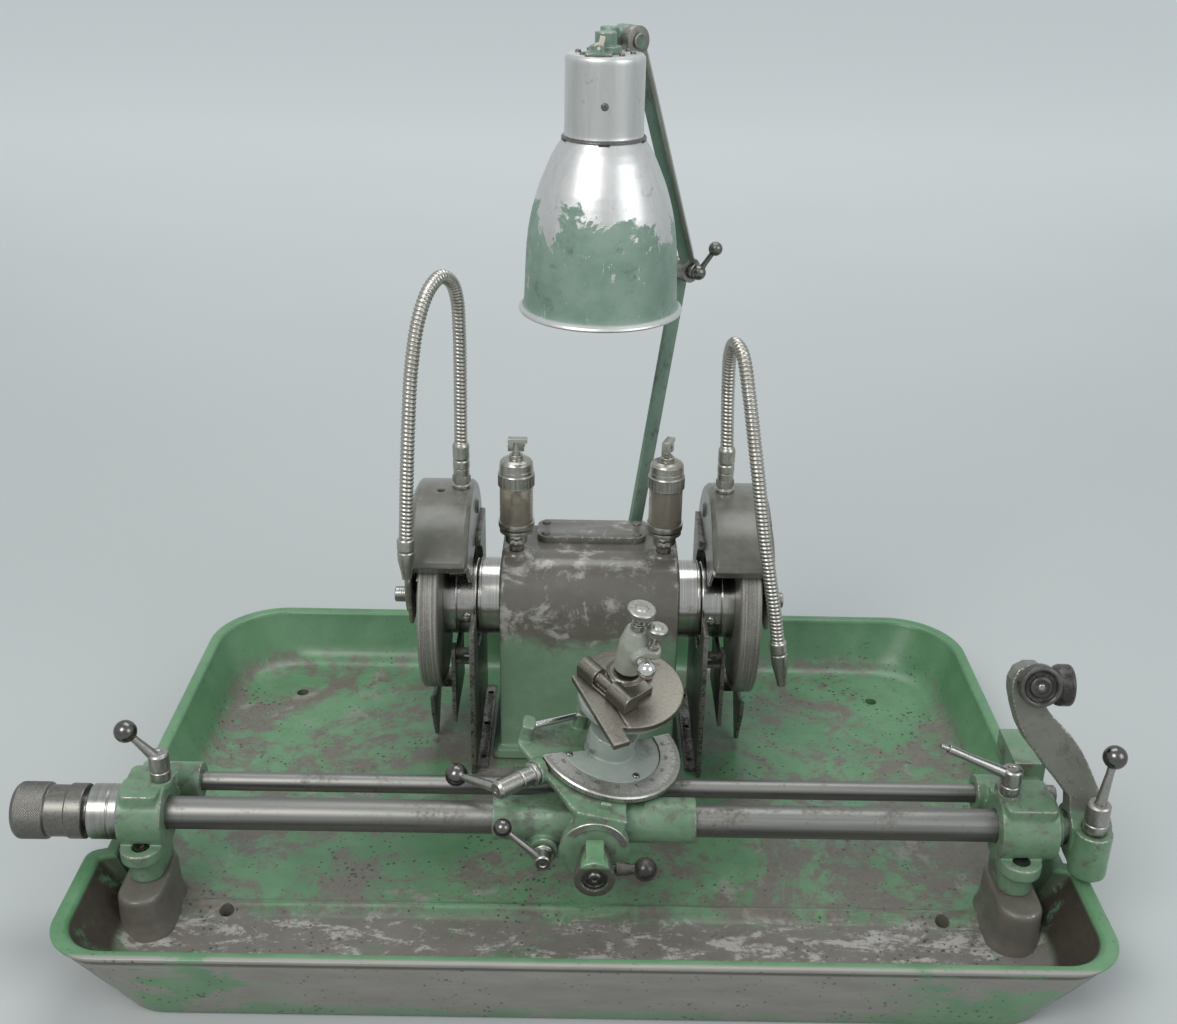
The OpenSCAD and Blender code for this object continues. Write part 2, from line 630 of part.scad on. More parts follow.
module tilt_knob() color([0.16, 0.15, 0.14]) {
  xcyl(4, piv_x + 8.5, 32, -217, piv_z - 4);
  xcyl(6, 25.5, 42, -217, piv_z - 4);
  ball([50, -217, piv_z - 4], 10.3);
}
// green bracket that swings on the pivot and carries the graduated ring
module tilt_casting() color([0.34, 0.53, 0.38]) difference() {
  union() {
    tilted() {
      ycyl(30, -200, -187.6, 0, 0);
      box([-24, -200, 0], [20, -187.6, 36.5]);
      // pointer in front of the graduated ring
      box([-5, -191, 34], [5, -186.4, 44]);
    }
    // platform under the ring, with a stepped left wing
    on_dial() translate([0, 0, -12.6]) {
      linear_extrude(5.2) polygon([[-24, -85], [-30, -80], [-57, -42],
        [-71, -26], [-81, -12], [-81, 8], [-60, 22], [-24, 50], [30, 48],
        [46, 22], [46, -14], [20, -22], [18, -85]]);
      translate([0, 0, -7]) cylinder(r = 22, h = 9);
      // lugs of the index pin
      slab([-81, -10, 2], [-69, 8, 22], 4);
      slab([-33, 22, 2], [-21, 40, 22], 4);
    }
    rod(sw_a - sw_u * 3, sw_a + sw_u * 14, 12);
  }
  ycyl(9 + gap, -202, -186, piv_x, piv_z);
  on_dial() translate([0, 0, -30]) cylinder(r = 10 + gap, h = 40);
  on_dial() rod(pin_a, pin_b, 3.2);
  rod(sw_a, sw_b, 5.05);
  // room for the ring beside the lever's boss
  on_dial() translate([0, 0, -7.3]) rotate_extrude(angle = 50, start = 180)
    translate([44, 0]) square([dial_r - 42.8, 20]);
  // relief over the sleeve below
  xcyl(22, -60, 70, tube_y, tube_z);
}
pin_a = [-76, -2, 4];
pin_b = [-24, 32, 4];
sw_a = [-36, -145, 154];       // swivel lever: inner and outer end of its hub
sw_b = [-78, -183, 156];
sw_u = (sw_b - sw_a) / norm(sw_b - sw_a);
module index_pin() color([0.80, 0.80, 0.78]) on_dial() rod(pin_a, pin_b, 3.15);
module swivel_lever() color([0.60, 0.59, 0.56]) {
  rod(sw_a + sw_u * 4, sw_a + sw_u * 18, 5);
  rod(sw_a + sw_u * 14.4, sw_a + sw_u * 18, 11);
  rod(sw_a + sw_u * 16, sw_b, 8.6);
  rod(sw_b - sw_u * 5, [-115, -145, 145], 4);
  ball([-115, -145, 145], 10.2);
}
// graduated half ring
module dial() color([0.55, 0.55, 0.52]) on_dial() {
  translate([0, 0, -6]) rotate_extrude(angle = 184, start = 207)
    polygon([[47, 0], [dial_r - 0.4, 0], [dial_r, 0.4], [dial_r, 5.6],
      [dial_r - 0.4, 6], [47, 6]]);
}
module table_base() color([0.50, 0.58, 0.50]) {
  on_dial() difference() {
    union() {
      // half plate inside the ring, and the hub it turns on
      translate([0, 0, -7]) rotate_extrude(angle = 184, start = 207)
        square([47, 6.2]);
      translate([0, 0, -7]) cylinder(r = 22, h = 26);
      translate([0, 0, -24]) cylinder(r = 10, h = 20);
    }
    for (p = [[-35.5, -21], [25, -32]])
      translate([p[0], p[1], -3]) cylinder(r = 2.4, h = 4);
  }
  on_table() {
    translate([-4, -7, -46]) cylinder(r = 20, h = 36);
    translate([0, 0, -14]) cylinder(r = 45, h = 8);
  }
}
t_dir = [0.425, -0.905];       // along the table's straight edge
t_ang = -64.8;
module table() color([0.40, 0.37, 0.33]) on_table() difference() {
  union() {
    translate([0, 0, -6]) cylinder(r = table_r, h = 6);
    rotate([0, 0, t_ang]) translate([-31, -44, -6]) cube([90, 18, 6]);
  }
  // straight edge, and the shallow groove beside the rest
  rotate([0, 0, t_ang]) translate([-80, -62, -7]) cube([160, 20, 9]);
  rotate([0, 0, t_ang]) translate([-80, -22, -0.8]) cube([160, 1.6, 2]);
}
h_ang = -48.6;                 // hinge line of the drill clamp on the table
module clamp_block() color([0.45, 0.43, 0.39]) on_table() difference() {
  union() {
    translate([-20, -5, 0]) rotate([0, 0, h_ang]) {
      for (p = [[-32, 22], [8, 25]]) translate([p[0], 0, 8]) rotate([0, 90, 0])
        cylinder(r = 8, h = p[1]);
      for (p = [[-32, 22], [8, 25]]) translate([p[0], -8, 0]) cube([p[1], 16, 7]);
      translate([-12, 0, 7.2]) rotate([0, 90, 0]) cylinder(r = 5, h = 22);
      translate([-32, -8, 0]) cube([65, 12, 2.5]);
      translate([-28, 0, 0]) cube([56, 30, 8]);
      translate([-14, 20, 0]) cube([28, 24, 8]);
    }
    translate([-3, 10, 7]) cylinder(r = 17, h = 3);
    translate([-3, 10, 9]) cylinder(r = 15, h = 2.2);
  }
  translate([-3, 10, 1.5]) cylinder(r = 6 + gap, h = 12);
}
po = [-3, 10];                 // foot of the clamp post on the table
module on_post() on_table() translate([po[0], po[1], 0]) rotate([-3.5, 6, 0])
  children();
module clamp_post() color([0.66, 0.66, 0.60]) {
  on_table() translate([po[0], po[1], 2]) cylinder(r = 6, h = 14);
  on_post() difference() {
    union() {
      translate([0, 0, 13.2]) cylinder(r1 = 12.2, r2 = 13, h = 11.4);
      translate([0, 0, 24.6]) cylinder(r = 13, h = 18);
      translate([0, 0, 42.6]) cylinder(r1 = 13, r2 = 9.5, h = 16);
      // side boss and the lug of the small thumbscrew
      rotate([0, 0, -66]) translate([0, 0, 36]) rotate([0, 90, 0])
        cylinder(r1 = 8.5, r2 = 7, h = 17);
      slab([2, -14, 38], [24, 0, 45], 5);
    }
    translate([0, 0, 46]) cylinder(r = 4.05, h = 14);
    rotate([0, 0, -66]) translate([0, 0, 36]) rotate([0, 90, 0])
      translate([0, 0, 10]) cylinder(r = 3.05, h = 9);
    translate([16.5, -7, 36]) cylinder(r = 3.05, h = 12);
  }
}
module post_lever() color([0.75, 0.74, 0.70]) on_post()
  rotate([0, 0, -66]) translate([0, 0, 36]) rotate([0, 90, 0]) {
    translate([0, 0, 10.5]) cylinder(r = 3, h = 16);
    translate([0, 0, 17.3]) cylinder(r = 4.6, h = 5);
    translate([0, 0, 29]) sphere(8.5);
  }
module top_thumbscrew() color([0.66, 0.65, 0.60]) on_post() difference() {
  union() {
    translate([0, 0, 47]) cylinder(r = 4, h = 30);
    translate([0, 0, 59]) cylinder(r = 6, h = 6);
    translate([0, 0, 74]) cylinder(r1 = 9, r2 = 13, h = 3);
    translate([0, 0, 77]) cylinder(r = 13, h = 4);
    translate([0, 0, 81]) cylinder(r1 = 13, r2 = 11.5, h = 1);
    translate([0, 0, 82]) cylinder(r1 = 5, r2 = 4.4, h = 1.4);
  }
  translate([-6, -0.6, 82.6]) cube([12, 1.2, 2]);
}
module side_thumbscrew() color([0.60, 0.58, 0.54]) on_post() translate([16.5, -7, 0]) {
  translate([0, 0, 34]) cylinder(r = 3, h = 28);
  translate([0, 0, 45.4]) cylinder(r = 5, h = 4);
  translate([0, 0, 60]) cylinder(r1 = 8, r2 = 9.4, h = 2);
  translate([0, 0, 62]) cylinder(r = 9.4, h = 6);
  translate([0, 0, 68]) cylinder(r1 = 9.4, r2 = 8.4, h = 1);
}

// ---------------------------------------------------------------- lamp
foot = [50, sp_y + 76, 226];
module lamp_base() color([0.33, 0.42, 0.35]) difference() {
  union() {
    slab([34, sp_y + 60, 196], [66, sp_y + 92, 214], 6);
    box([36, sp_y + 61, 150], [64, sp_y + 74, 212]);
    zcyl(12, 210, 222, foot[0], foot[1]);
  }
  box([20, sp_y + 50, 140], [80, sp_y + 64, 240]);
  zcyl(7 + gap, 200, 230, foot[0], foot[1]);
  for (z = [162, 184]) ycyl(3.4, sp_y + 60, sp_y + 80, 50, z);
}
module along(a, b) {
  d = b - a;
  translate(a) rotate([0, acos(d[2] / norm(d)), atan2(d[1], d[0])]) children();
}
lz = atan2(la[1], la[0]);      // direction of the lamp hinge lines
module lamp_lower_arm() color([0.38, 0.50, 0.42]) {
  zcyl(7, 202, 226, foot[0], foot[1]);
  zcyl(11, 222.4, 232, foot[0], foot[1]);
  d = mid - foot; L = norm(d);
  along(foot - la * 4, mid - la * 4) rotate([0, 0, lz - atan2(d[1], d[0])]) {
    translate([-2, -9, 0]) cube([4, 18, L - 4]);
    translate([-2, -9, 4]) cube([4, 3.4, L - 20]);
  }
  // hinge cheek
  rod(mid - la * 8, mid - la * 0.2, 12);
}
module lamp_clamp_lever() color([0.34, 0.36, 0.33]) {
  rod(mid + la * 2, mid + la * 18, 3.95);
  rod(mid + la * 10.6, mid + la * 15, 8);
  ball(mid + la * 19, 7.4, -115);
  rod(mid + la * 19, mid + la * 27 + [10, 5, 24], 3);
  ball(mid + la * 27 + [10, 5, 24], 6.8, 0);
}
module lamp_upper_arm() color([0.38, 0.48, 0.42]) difference() {
  union() {
    rod(mid + la * 0.2, mid + la * 10, 12);
    d = top - mid; L = norm(d);
    along(mid + la * 7, top + la * 7) rotate([0, 0, 45])
      translate([-2.5, -7, 9]) cube([5, 14, L - 19]);
    along(mid + la * 7, top + la * 7) rotate([0, 0, 45])
      translate([-5.5, 3.6, 14]) cube([11, 3.4, L - 30]);
    rod(top + la * 0.2, top + la * 9.8, 13);
  }
  rod(mid + la * 0.1, mid + la * 11, 4);
  rod(top, top + la * 10, 4);
}
sx = shade_xy[0]; sy = shade_xy[1];
module lamp_yoke() color([0.40, 0.42, 0.38]) {
  y0 = top - la * 9.5 + [0, 0, 3];
  y1 = [sx + 3.4, sy + 38, shade_z + 235.5];
  y2 = [sx, sy, shade_z + 235];
  difference() {
    union() {
      rod(top - la * 14, top - la * 0.2, 13);
      rod(top - la * 1, top + la * 11.5, 3.95);
      rod(top + la * 10.2, top + la * 12.8, 7);
      rod(y0, y1, 7.5);
      zcyl(8.2, shade_z + 227.4, shade_z + 243.9, y1[0], y1[1]);
      rod(y1, y2, 7.5, 6.8);
      zcyl(14, shade_z + 226.2, shade_z + 232, sx, sy);
      zcyl(9.5, shade_z + 231, shade_z + 243.4, sx, sy);
      // seat and cheeks of the lamp's rocker switch
      translate([sx - 6, sy - 20, shade_z + 226.2]) {
        slab([-12, -7.5, 0], [12, 14, 2], 3);
        for (y = [-7, 4.6]) slab([-5, y, 1], [5, y + 2.4, 9], 0.6);
      }
    }
    ycyl(1.55, sy - 30, sy - 10, sx - 6, shade_z + 232.4);
  }
}
module lamp_shade() color([0.46, 0.56, 0.50]) translate([sx, sy, shade_z])
  rotate_extrude($fn = 96) polygon([[shade_r, -1], [shade_r, 2.5],
    [shade_r - 4, 5], [70.4, 14], [69.6, 30], [68.4, 60], [65, 84], [60, 104],
    [54, 121], [46.4, 139], [38.4, 152], [35, 158], [35, 223], [33, 226],
    [9, 226], [9, 224.4], [32.4, 224.4], [33.4, 222], [33.4, 157], [36.8, 151],
    [44.8, 138], [52.4, 120], [58.4, 103], [63.4, 83], [66.8, 60], [68, 30],
    [68.8, 14], [69.4, 3.2], [73, 0.8], [73, -1]]);
module lamp_socket() color([0.85, 0.83, 0.76]) translate([sx, sy, shade_z]) {
  translate([0, 0, 170]) cylinder(r = 19, h = 54.2);
  translate([0, 0, 218]) cylinder(r = 8.9, h = 8);
}
module lamp_bulb() color([0.92, 0.90, 0.82]) translate([sx, sy, shade_z]) {
  translate([0, 0, 145.8]) cylinder(r = 13, h = 24.2);
  translate([0, 0, 118]) cylinder(r1 = 28, r2 = 13, h = 28);
  translate([0, 0, 105]) sphere(30);
}
module lamp_switch() color([0.75, 0.74, 0.68]) translate([sx - 6, sy - 20, shade_z + 226.2]) {
  ycyl(4, -4.3, 4.3, 0, 6.2);
  ycyl(1.5, -7.4, 7.4, 0, 6.2);
  rotate([0, 12, 0]) translate([-2.2, -3.6, 7]) cube([4.4, 7.2, 8.5]);
}

// ---------------------------------------------------------------- output
tray();
bracket_screws();
headstock();
headstock_cover();
bearing_bushes();
bearing_caps();
guard_left();
guard_right();
guard_plates();
spindle();
pulley();
wheel_hubs();
wheels();
wheel_nuts();
hose_unions();
gooseneck_left();
gooseneck_right();
oiler_bases();
oiler_glasses();
oiler_caps();
oiler_needles();
oiler_toggle_left();
oiler_toggle_right();
bracket_left();
bracket_right();
bracket_lever_left();
bracket_lever_right();
rear_bar();
feed_sleeve();
feed_knob();
feed_quill();
front_tube();
arm();
arm_lever();
arm_knob_front();
arm_knob_side();
saddle();
pivot_horn();
saddle_lever();
swivel_lever();
tilt_knob();
tilt_casting();
index_pin();
dial();
table_base();
table();
clamp_block();
clamp_post();
post_lever();
top_thumbscrew();
side_thumbscrew();
lamp_base();
lamp_lower_arm();
lamp_clamp_lever();
lamp_upper_arm();
lamp_yoke();
lamp_shade();
lamp_socket();
lamp_bulb();
lamp_switch();
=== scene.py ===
"""Looks of the bench drill bit sharpener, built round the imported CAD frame."""
import json
import math

import bmesh
import bpy
import numpy as np
from mathutils import Euler, Matrix, Vector


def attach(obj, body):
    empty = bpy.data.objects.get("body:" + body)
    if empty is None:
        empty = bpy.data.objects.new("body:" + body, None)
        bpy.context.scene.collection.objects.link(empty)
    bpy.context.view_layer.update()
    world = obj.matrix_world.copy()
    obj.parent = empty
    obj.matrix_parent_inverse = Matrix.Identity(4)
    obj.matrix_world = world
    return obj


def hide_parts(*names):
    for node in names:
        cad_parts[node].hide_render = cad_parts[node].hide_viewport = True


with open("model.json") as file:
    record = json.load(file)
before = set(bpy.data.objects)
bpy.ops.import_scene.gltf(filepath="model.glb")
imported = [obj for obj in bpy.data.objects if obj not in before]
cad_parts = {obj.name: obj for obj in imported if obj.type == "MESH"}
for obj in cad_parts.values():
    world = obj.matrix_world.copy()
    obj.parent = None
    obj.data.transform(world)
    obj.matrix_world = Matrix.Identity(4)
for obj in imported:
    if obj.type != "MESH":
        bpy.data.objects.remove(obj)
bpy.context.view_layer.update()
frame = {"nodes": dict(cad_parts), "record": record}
NODES = frame["nodes"]
BODY = {n: b for b, ns in frame["record"]["behaviour"]["bodies"].items() for n in ns}
SLOT = {s["node"]: s["material_slot"] for s in frame["record"]["subparts"]}
scene = bpy.context.scene


# ---------------------------------------------------------------- materials
class Mat:
    """A node material with short helpers; every texture uses object coordinates in metres."""

    def __init__(self, name, **fixed):
        self.m = bpy.data.materials.new(name)
        self.m.use_nodes = True
        self.nt = self.m.node_tree
        self.nt.nodes.clear()
        self.out = self.nt.nodes.new("ShaderNodeOutputMaterial")
        self.b = self.nt.nodes.new("ShaderNodeBsdfPrincipled")
        self.nt.links.new(self.b.outputs[0], self.out.inputs["Surface"])
        self.co = self.nt.nodes.new("ShaderNodeTexCoord").outputs["Object"]
        for k, v in fixed.items():
            self.b.inputs[k.replace("_", " ")].default_value = v

    def put(self, socket, value):
        if isinstance(value, bpy.types.NodeSocket):
            self.nt.links.new(value, socket)
        elif isinstance(value, (tuple, list)) and len(value) == 3 and len(socket.default_value) == 4:
            socket.default_value = (*value, 1)
        else:
            socket.default_value = value

    def node(self, kind, inputs, **settings):
        n = self.nt.nodes.new("ShaderNode" + kind)
        for k, v in settings.items():
            setattr(n, k, v)
        for k, v in inputs.items():
            self.put(n.inputs[k], v)
        return n.outputs

    def map(self, stretch):
        return self.node("Mapping", {"Scale": stretch, "Vector": self.co})[0]

    def noise(self, scale, detail=5, rough=0.6, dist=0.0, stretch=None):
        where = self.map(stretch) if stretch else self.co
        return self.node("TexNoise", {"Scale": scale, "Detail": detail, "Roughness": rough,
                                      "Distortion": dist, "Vector": where})["Fac"]

    def cells(self, scale):
        return self.node("TexVoronoi", {"Scale": scale, "Vector": self.co})["Distance"]

    def attr(self, name):
        return self.node("Attribute", {}, attribute_name=name)["Fac"]

    def xyz(self, i):
        return self.node("SeparateXYZ", {0: self.co})[i]

    def math(self, op, a, b=0.0):
        return self.node("Math", {0: a, 1: b}, operation=op)[0]

    def add(self, a, b):
        return self.math("ADD", a, b)

    def mul(self, a, b):
        return self.math("MULTIPLY", a, b)

    def blend(self, a, b, share):
        """A share of a and the rest of b."""
        return self.add(self.mul(a, share), self.mul(b, round(1 - share, 3)))

    def rest(self, a):
        return self.math("SUBTRACT", 1.0, a)

    def step(self, v, lo, hi):
        return self.node("MapRange", {0: v, 1: lo, 2: hi}, interpolation_type="SMOOTHSTEP")[0]

    def lerp(self, v, lo, hi, a, b):
        return self.node("MapRange", {0: v, 1: lo, 2: hi, 3: a, 4: b})[0]

    def mix(self, fac, a, b):
        return self.node("Mix", {0: fac, 6: a, 7: b}, data_type="RGBA")[2]

    def bump(self, height, depth):
        """Adds to the bumps already there."""
        inputs = {"Strength": 1.0, "Distance": depth, "Height": height}
        for link in self.b.inputs["Normal"].links:
            inputs["Normal"] = link.from_socket
        self.put(self.b.inputs["Normal"], self.node("Bump", inputs)[0])

    def set(self, **v):
        for k, x in v.items():
            self.put(self.b.inputs[k.replace("_", " ")], x)
        return self.m


def paint(name, a, b, dirt, metal, dirty=0.5, chips=0.66, wear=0.3, rough=(0.32, 0.62),
          scale=1.0, grain=0.00012, other=None):
    """Old brushed paint: two tones, caked dirt, chips to metal, worn edges, casting grain."""
    m = Mat(name)
    big = m.noise(7 * scale, 7, 0.62, 0.4)
    mid = m.noise(34 * scale, 9, 0.68)
    fine = m.noise(170 * scale, 7, 0.7)
    edge = m.attr("wear")
    col = m.mix(m.step(m.blend(big, mid, 0.6), 0.36, 0.64), a, b)
    if other:
        col = other(m, col, mid, fine)
    d = m.step(m.blend(m.noise(11 * scale, 8, 0.7, 0.8), mid, 0.55), dirty, dirty + 0.12)
    col = m.mix(m.mul(d, 0.85), col, m.mix(fine, dirt, tuple(x * 0.55 for x in dirt)))
    c = m.step(m.add(m.blend(mid, fine, 0.45), m.mul(edge, wear)), chips, chips + 0.035)
    col = m.mix(c, col, m.mix(fine, tuple(x * 0.6 for x in metal), metal))
    m.bump(m.add(m.mul(m.noise(700, 4, 0.6), 0.5), m.mul(fine, 0.6)), grain)
    m.bump(m.add(m.mul(c, -0.6), m.mul(d, 0.5)), 0.00018)
    return m.set(Base_Color=col, Metallic=m.mul(c, 0.8),
                 Roughness=m.lerp(m.blend(d, mid, 0.6), 0.2, 0.8, rough[0], rough[1]))


def steel(name, base, rough=0.3, lines=None, stain=0.25, dark=0.5, depth=0.00003):
    """Bare machined steel: tool lines, brown-grey stains, handling marks."""
    m = Mat(name, Metallic=1.0)
    big = m.noise(18, 7, 0.66, 0.3)
    fine = m.noise(240, 6, 0.7)
    streak = m.noise(1.0, 4, 0.6, 0.0, lines) if lines else m.noise(420, 3, 0.6)
    s = m.step(m.blend(big, fine, 0.65), 0.5, 0.68)
    edge = m.attr("wear")
    col = m.mix(m.lerp(streak, 0.3, 0.7, 0.0, 1.0), tuple(x * 0.78 for x in base),
                tuple(min(1, x * 1.12) for x in base))
    col = m.mix(m.mul(s, stain * 2), col, tuple(x * dark * t for x, t in zip(base, (1.0, 0.88, 0.72))))
    col = m.mix(m.mul(m.step(m.noise(60, 8, 0.75), 0.62, 0.7), 0.55 * (1 if stain > 0.1 else 0.3)), col,
                tuple(x * 0.3 * t for x, t in zip(base, (1, 0.85, 0.68))))
    col = m.mix(m.mul(edge, 0.5), col, tuple(min(1, x * 1.3) for x in base))
    m.bump(m.add(streak, m.mul(fine, 0.3)), depth * 0.45)
    return m.set(Base_Color=col, Roughness=m.lerp(m.blend(streak, s, 0.35), 0.1, 0.9,
                                                   rough * 0.8, min(1, rough * 1.7)))


GREEN_A, GREEN_B = (0.082, 0.200, 0.096), (0.130, 0.262, 0.142)
MUD = (0.125, 0.110, 0.088)
BARE = (0.34, 0.325, 0.29)


def tray_zones(m, col, mid, fine):
    """Residue on the pan floor and in the front trough, a worn brown outside wall, painted shade under the
    rolled lip and a painted highlight along its top.
    """
    x, y, z = (m.xyz(i) for i in range(3))
    plain = col
    mask = m.blend(m.noise(9, 9, 0.72, 1.2), m.noise(55, 8, 0.75), 0.6)
    low = m.step(z, 0.046, 0.024)
    col = m.mix(m.mul(low, m.step(mask, 0.46, 0.56)), col, m.mix(fine, (0.075, 0.072, 0.058),
                                                                 (0.20, 0.178, 0.15)))
    pale = m.blend(m.noise(5, 7, 0.7, 1.6), mid, 0.7)
    col = m.mix(m.mul(m.mul(low, m.step(pale, 0.56, 0.6)), 0.7), col,
                m.mix(fine, (0.16, 0.145, 0.13), (0.34, 0.31, 0.285)))
    pit = m.add(m.mul(m.cells(150), 0.3), m.add(m.mul(m.noise(150, 9, 0.85), 0.4),
                                                m.mul(m.noise(14, 5, 0.7), 0.3)))
    col = m.mix(m.mul(m.step(pit, 0.395, 0.365), m.lerp(low, 0, 1, 0.35, 0.85)), col, (0.026, 0.028, 0.022))
    trough = m.mul(m.step(y, -0.170, -0.196), low)
    diag = m.noise(1.0, 8, 0.7, 0.7, (26, 60, 20))
    res = m.mix(mid, (0.10, 0.088, 0.074), (0.235, 0.218, 0.196))
    res = m.mix(m.mul(m.step(m.blend(diag, fine, 0.7), 0.50, 0.58), 0.85), res, (0.42, 0.405, 0.38))
    res = m.mix(m.mul(m.step(pit, 0.40, 0.36), 0.85), res, (0.03, 0.028, 0.022))
    col = m.mix(m.mul(trough, m.step(mask, 0.34, 0.46)), col, res)
    wall = m.mul(m.mul(m.step(y, -0.150, -0.185), m.step(z, 0.030, 0.038)), m.step(z, 0.0725, 0.0695))
    col = m.mix(m.mul(wall, m.step(m.add(mask, m.mul(z, 0.9)), 0.42, 0.50)), col,
                m.mix(fine, (0.028, 0.023, 0.018), (0.075, 0.062, 0.05)))
    out = m.step(m.add(y, m.mul(z, 0.246)), -0.2785, -0.2825)
    streak = m.noise(1.0, 7, 0.65, 0.2, (14, 14, 60))
    side = m.step(m.add(m.math("ABSOLUTE", x), m.mul(streak, 0.25)), 0.36, 0.45)
    patch = m.blend(m.noise(6, 8, 0.7, 0.8), streak, 0.6)
    green = m.mul(m.add(side, m.mul(m.step(z, 0.022, 0.008), 0.8)),
                  m.step(m.add(patch, m.mul(z, -1.1)), 0.425, 0.475))
    brown = m.mix(streak, (0.140, 0.133, 0.113), (0.30, 0.29, 0.262))
    brown = m.mix(m.mul(m.step(pit, 0.40, 0.36), 0.7), brown, (0.04, 0.037, 0.03))
    green = m.math("MINIMUM", green, 1.0)
    col = m.mix(out, col, m.mix(m.mul(m.step(pit, 0.40, 0.37), 0.7), plain, (0.03, 0.03, 0.024)))
    # Painted shade: a dark band in the crease under the rolled lip.
    under_lip_shade = m.mul(m.step(z, 0.0655, 0.068), m.step(z, 0.0722, 0.0705))
    brown = m.mix(m.mul(under_lip_shade, 0.7), brown, (0.045, 0.04, 0.032))
    # Painted highlight: a pale line along the top of the rolled lip.
    brown = m.mix(m.mul(m.step(z, 0.0738, 0.0746), 0.7), brown, (0.30, 0.29, 0.26))
    return m.mix(m.mul(out, m.rest(m.mul(green, 0.85))), col, brown)


def head_zones(m, col, mid, fine):
    """Green low on the pedestal, grey-brown with pale scuffs over the barrel."""
    z = m.xyz(2)
    up = m.step(m.add(z, m.mul(m.noise(16, 8, 0.7, 0.6), 0.11)), 0.195, 0.222)
    scuff = m.step(m.blend(m.noise(26, 9, 0.72, 0.8), mid, 0.6), 0.52, 0.6)
    top = m.mix(mid, (0.088, 0.082, 0.069), (0.165, 0.156, 0.134))
    top = m.mix(m.mul(scuff, 0.8), top, (0.37, 0.36, 0.33))
    return m.mix(up, col, top)


def shade_zones(name):
    """Bare spun metal above, grey-green paint with a ragged edge below."""
    m = Mat(name)
    x, z = m.xyz(0), m.xyz(2)
    rag = m.add(m.mul(m.noise(20, 9, 0.7, 0.5), 0.16), m.mul(m.noise(120, 8, 0.75), 0.035))
    scratch = m.noise(1.0, 6, 0.7, 0.6, (160, 160, 14))
    fine = m.noise(260, 7, 0.7)
    p = m.step(m.add(m.add(z, rag), m.mul(m.step(x, -0.045, -0.075), -0.018)), 0.690, 0.684)
    spall = m.step(m.blend(scratch, m.noise(70, 9, 0.8), 0.5), 0.585, 0.61)
    rim = m.step(z, 0.5065, 0.5045)
    p = m.mul(m.mul(p, m.rest(m.mul(spall, 0.85))), m.rest(rim))
    mid = m.noise(24, 8, 0.65)
    green = m.mix(m.step(mid, 0.35, 0.65), (0.158, 0.245, 0.192), (0.225, 0.312, 0.258))
    green = m.mix(m.mul(m.step(m.noise(45, 9, 0.75), 0.56, 0.66), 0.6), green, (0.085, 0.11, 0.085))
    metal = m.mix(scratch, (0.56, 0.56, 0.545), (0.80, 0.80, 0.785))
    metal = m.mix(m.mul(m.step(m.noise(90, 8, 0.8), 0.58, 0.66), 0.4), metal, (0.30, 0.29, 0.26))
    m.bump(m.add(m.mul(p, 0.8), m.mul(fine, 0.4)), 0.00012)
    return m.set(Base_Color=m.mix(p, metal, green), Metallic=m.lerp(p, 0, 1, 0.92, 0.0),
                 Roughness=m.lerp(m.blend(p, fine, 0.5), 0, 1, 0.33, 0.55))


def bakelite(name):
    m = Mat(name, Specular_IOR_Level=0.5)
    dust = m.step(m.blend(m.noise(120, 8, 0.7), m.noise(30, 6, 0.6), 0.5), 0.47, 0.66)
    edge = m.attr("wear")
    col = m.mix(m.mul(dust, 0.5), (0.022, 0.020, 0.018), (0.115, 0.105, 0.09))
    col = m.mix(m.mul(edge, 0.45), col, (0.17, 0.16, 0.145))
    m.bump(m.noise(600, 5, 0.6), 0.00005)
    return m.set(Base_Color=col, Roughness=m.lerp(dust, 0, 1, 0.22, 0.55))


def stone(name):
    m = Mat(name, Metallic=0.5)
    grit = m.cells(900)
    mid = m.noise(40, 8, 0.7)
    ring = m.noise(1.0, 6, 0.7, 0.1, (520, 5, 5))
    col = m.mix(m.step(grit, 0.2, 0.7), (0.15, 0.14, 0.122), (0.27, 0.256, 0.23))
    col = m.mix(m.step(mid, 0.4, 0.62), col, m.mix(grit, (0.17, 0.158, 0.135), (0.34, 0.326, 0.30)))
    col = m.mix(m.mul(m.step(ring, 0.5, 0.62), 0.65), col, (0.47, 0.46, 0.43))
    col = m.mix(m.mul(m.step(ring, 0.44, 0.36), 0.6), col, (0.085, 0.078, 0.066))
    col = m.mix(m.mul(m.attr("wear"), 0.6), col, (0.42, 0.41, 0.38))
    m.bump(m.blend(grit, ring, 0.5), 0.00008)
    return m.set(Base_Color=col, Roughness=m.lerp(mid, 0.3, 0.7, 0.3, 0.5))


def glass(name, tint, rough, trans):
    m = Mat(name, Transmission_Weight=trans, IOR=1.46)
    film = m.blend(m.noise(1.0, 6, 0.6, 0.4, (60, 60, 18)), m.noise(240, 6, 0.7), 0.6)
    m.bump(film, 0.00004)
    return m.set(Base_Color=m.mix(m.step(film, 0.4, 0.62), tint, tuple(x * 0.72 for x in tint)),
                 Roughness=m.lerp(film, 0.3, 0.7, rough, rough + 0.18))


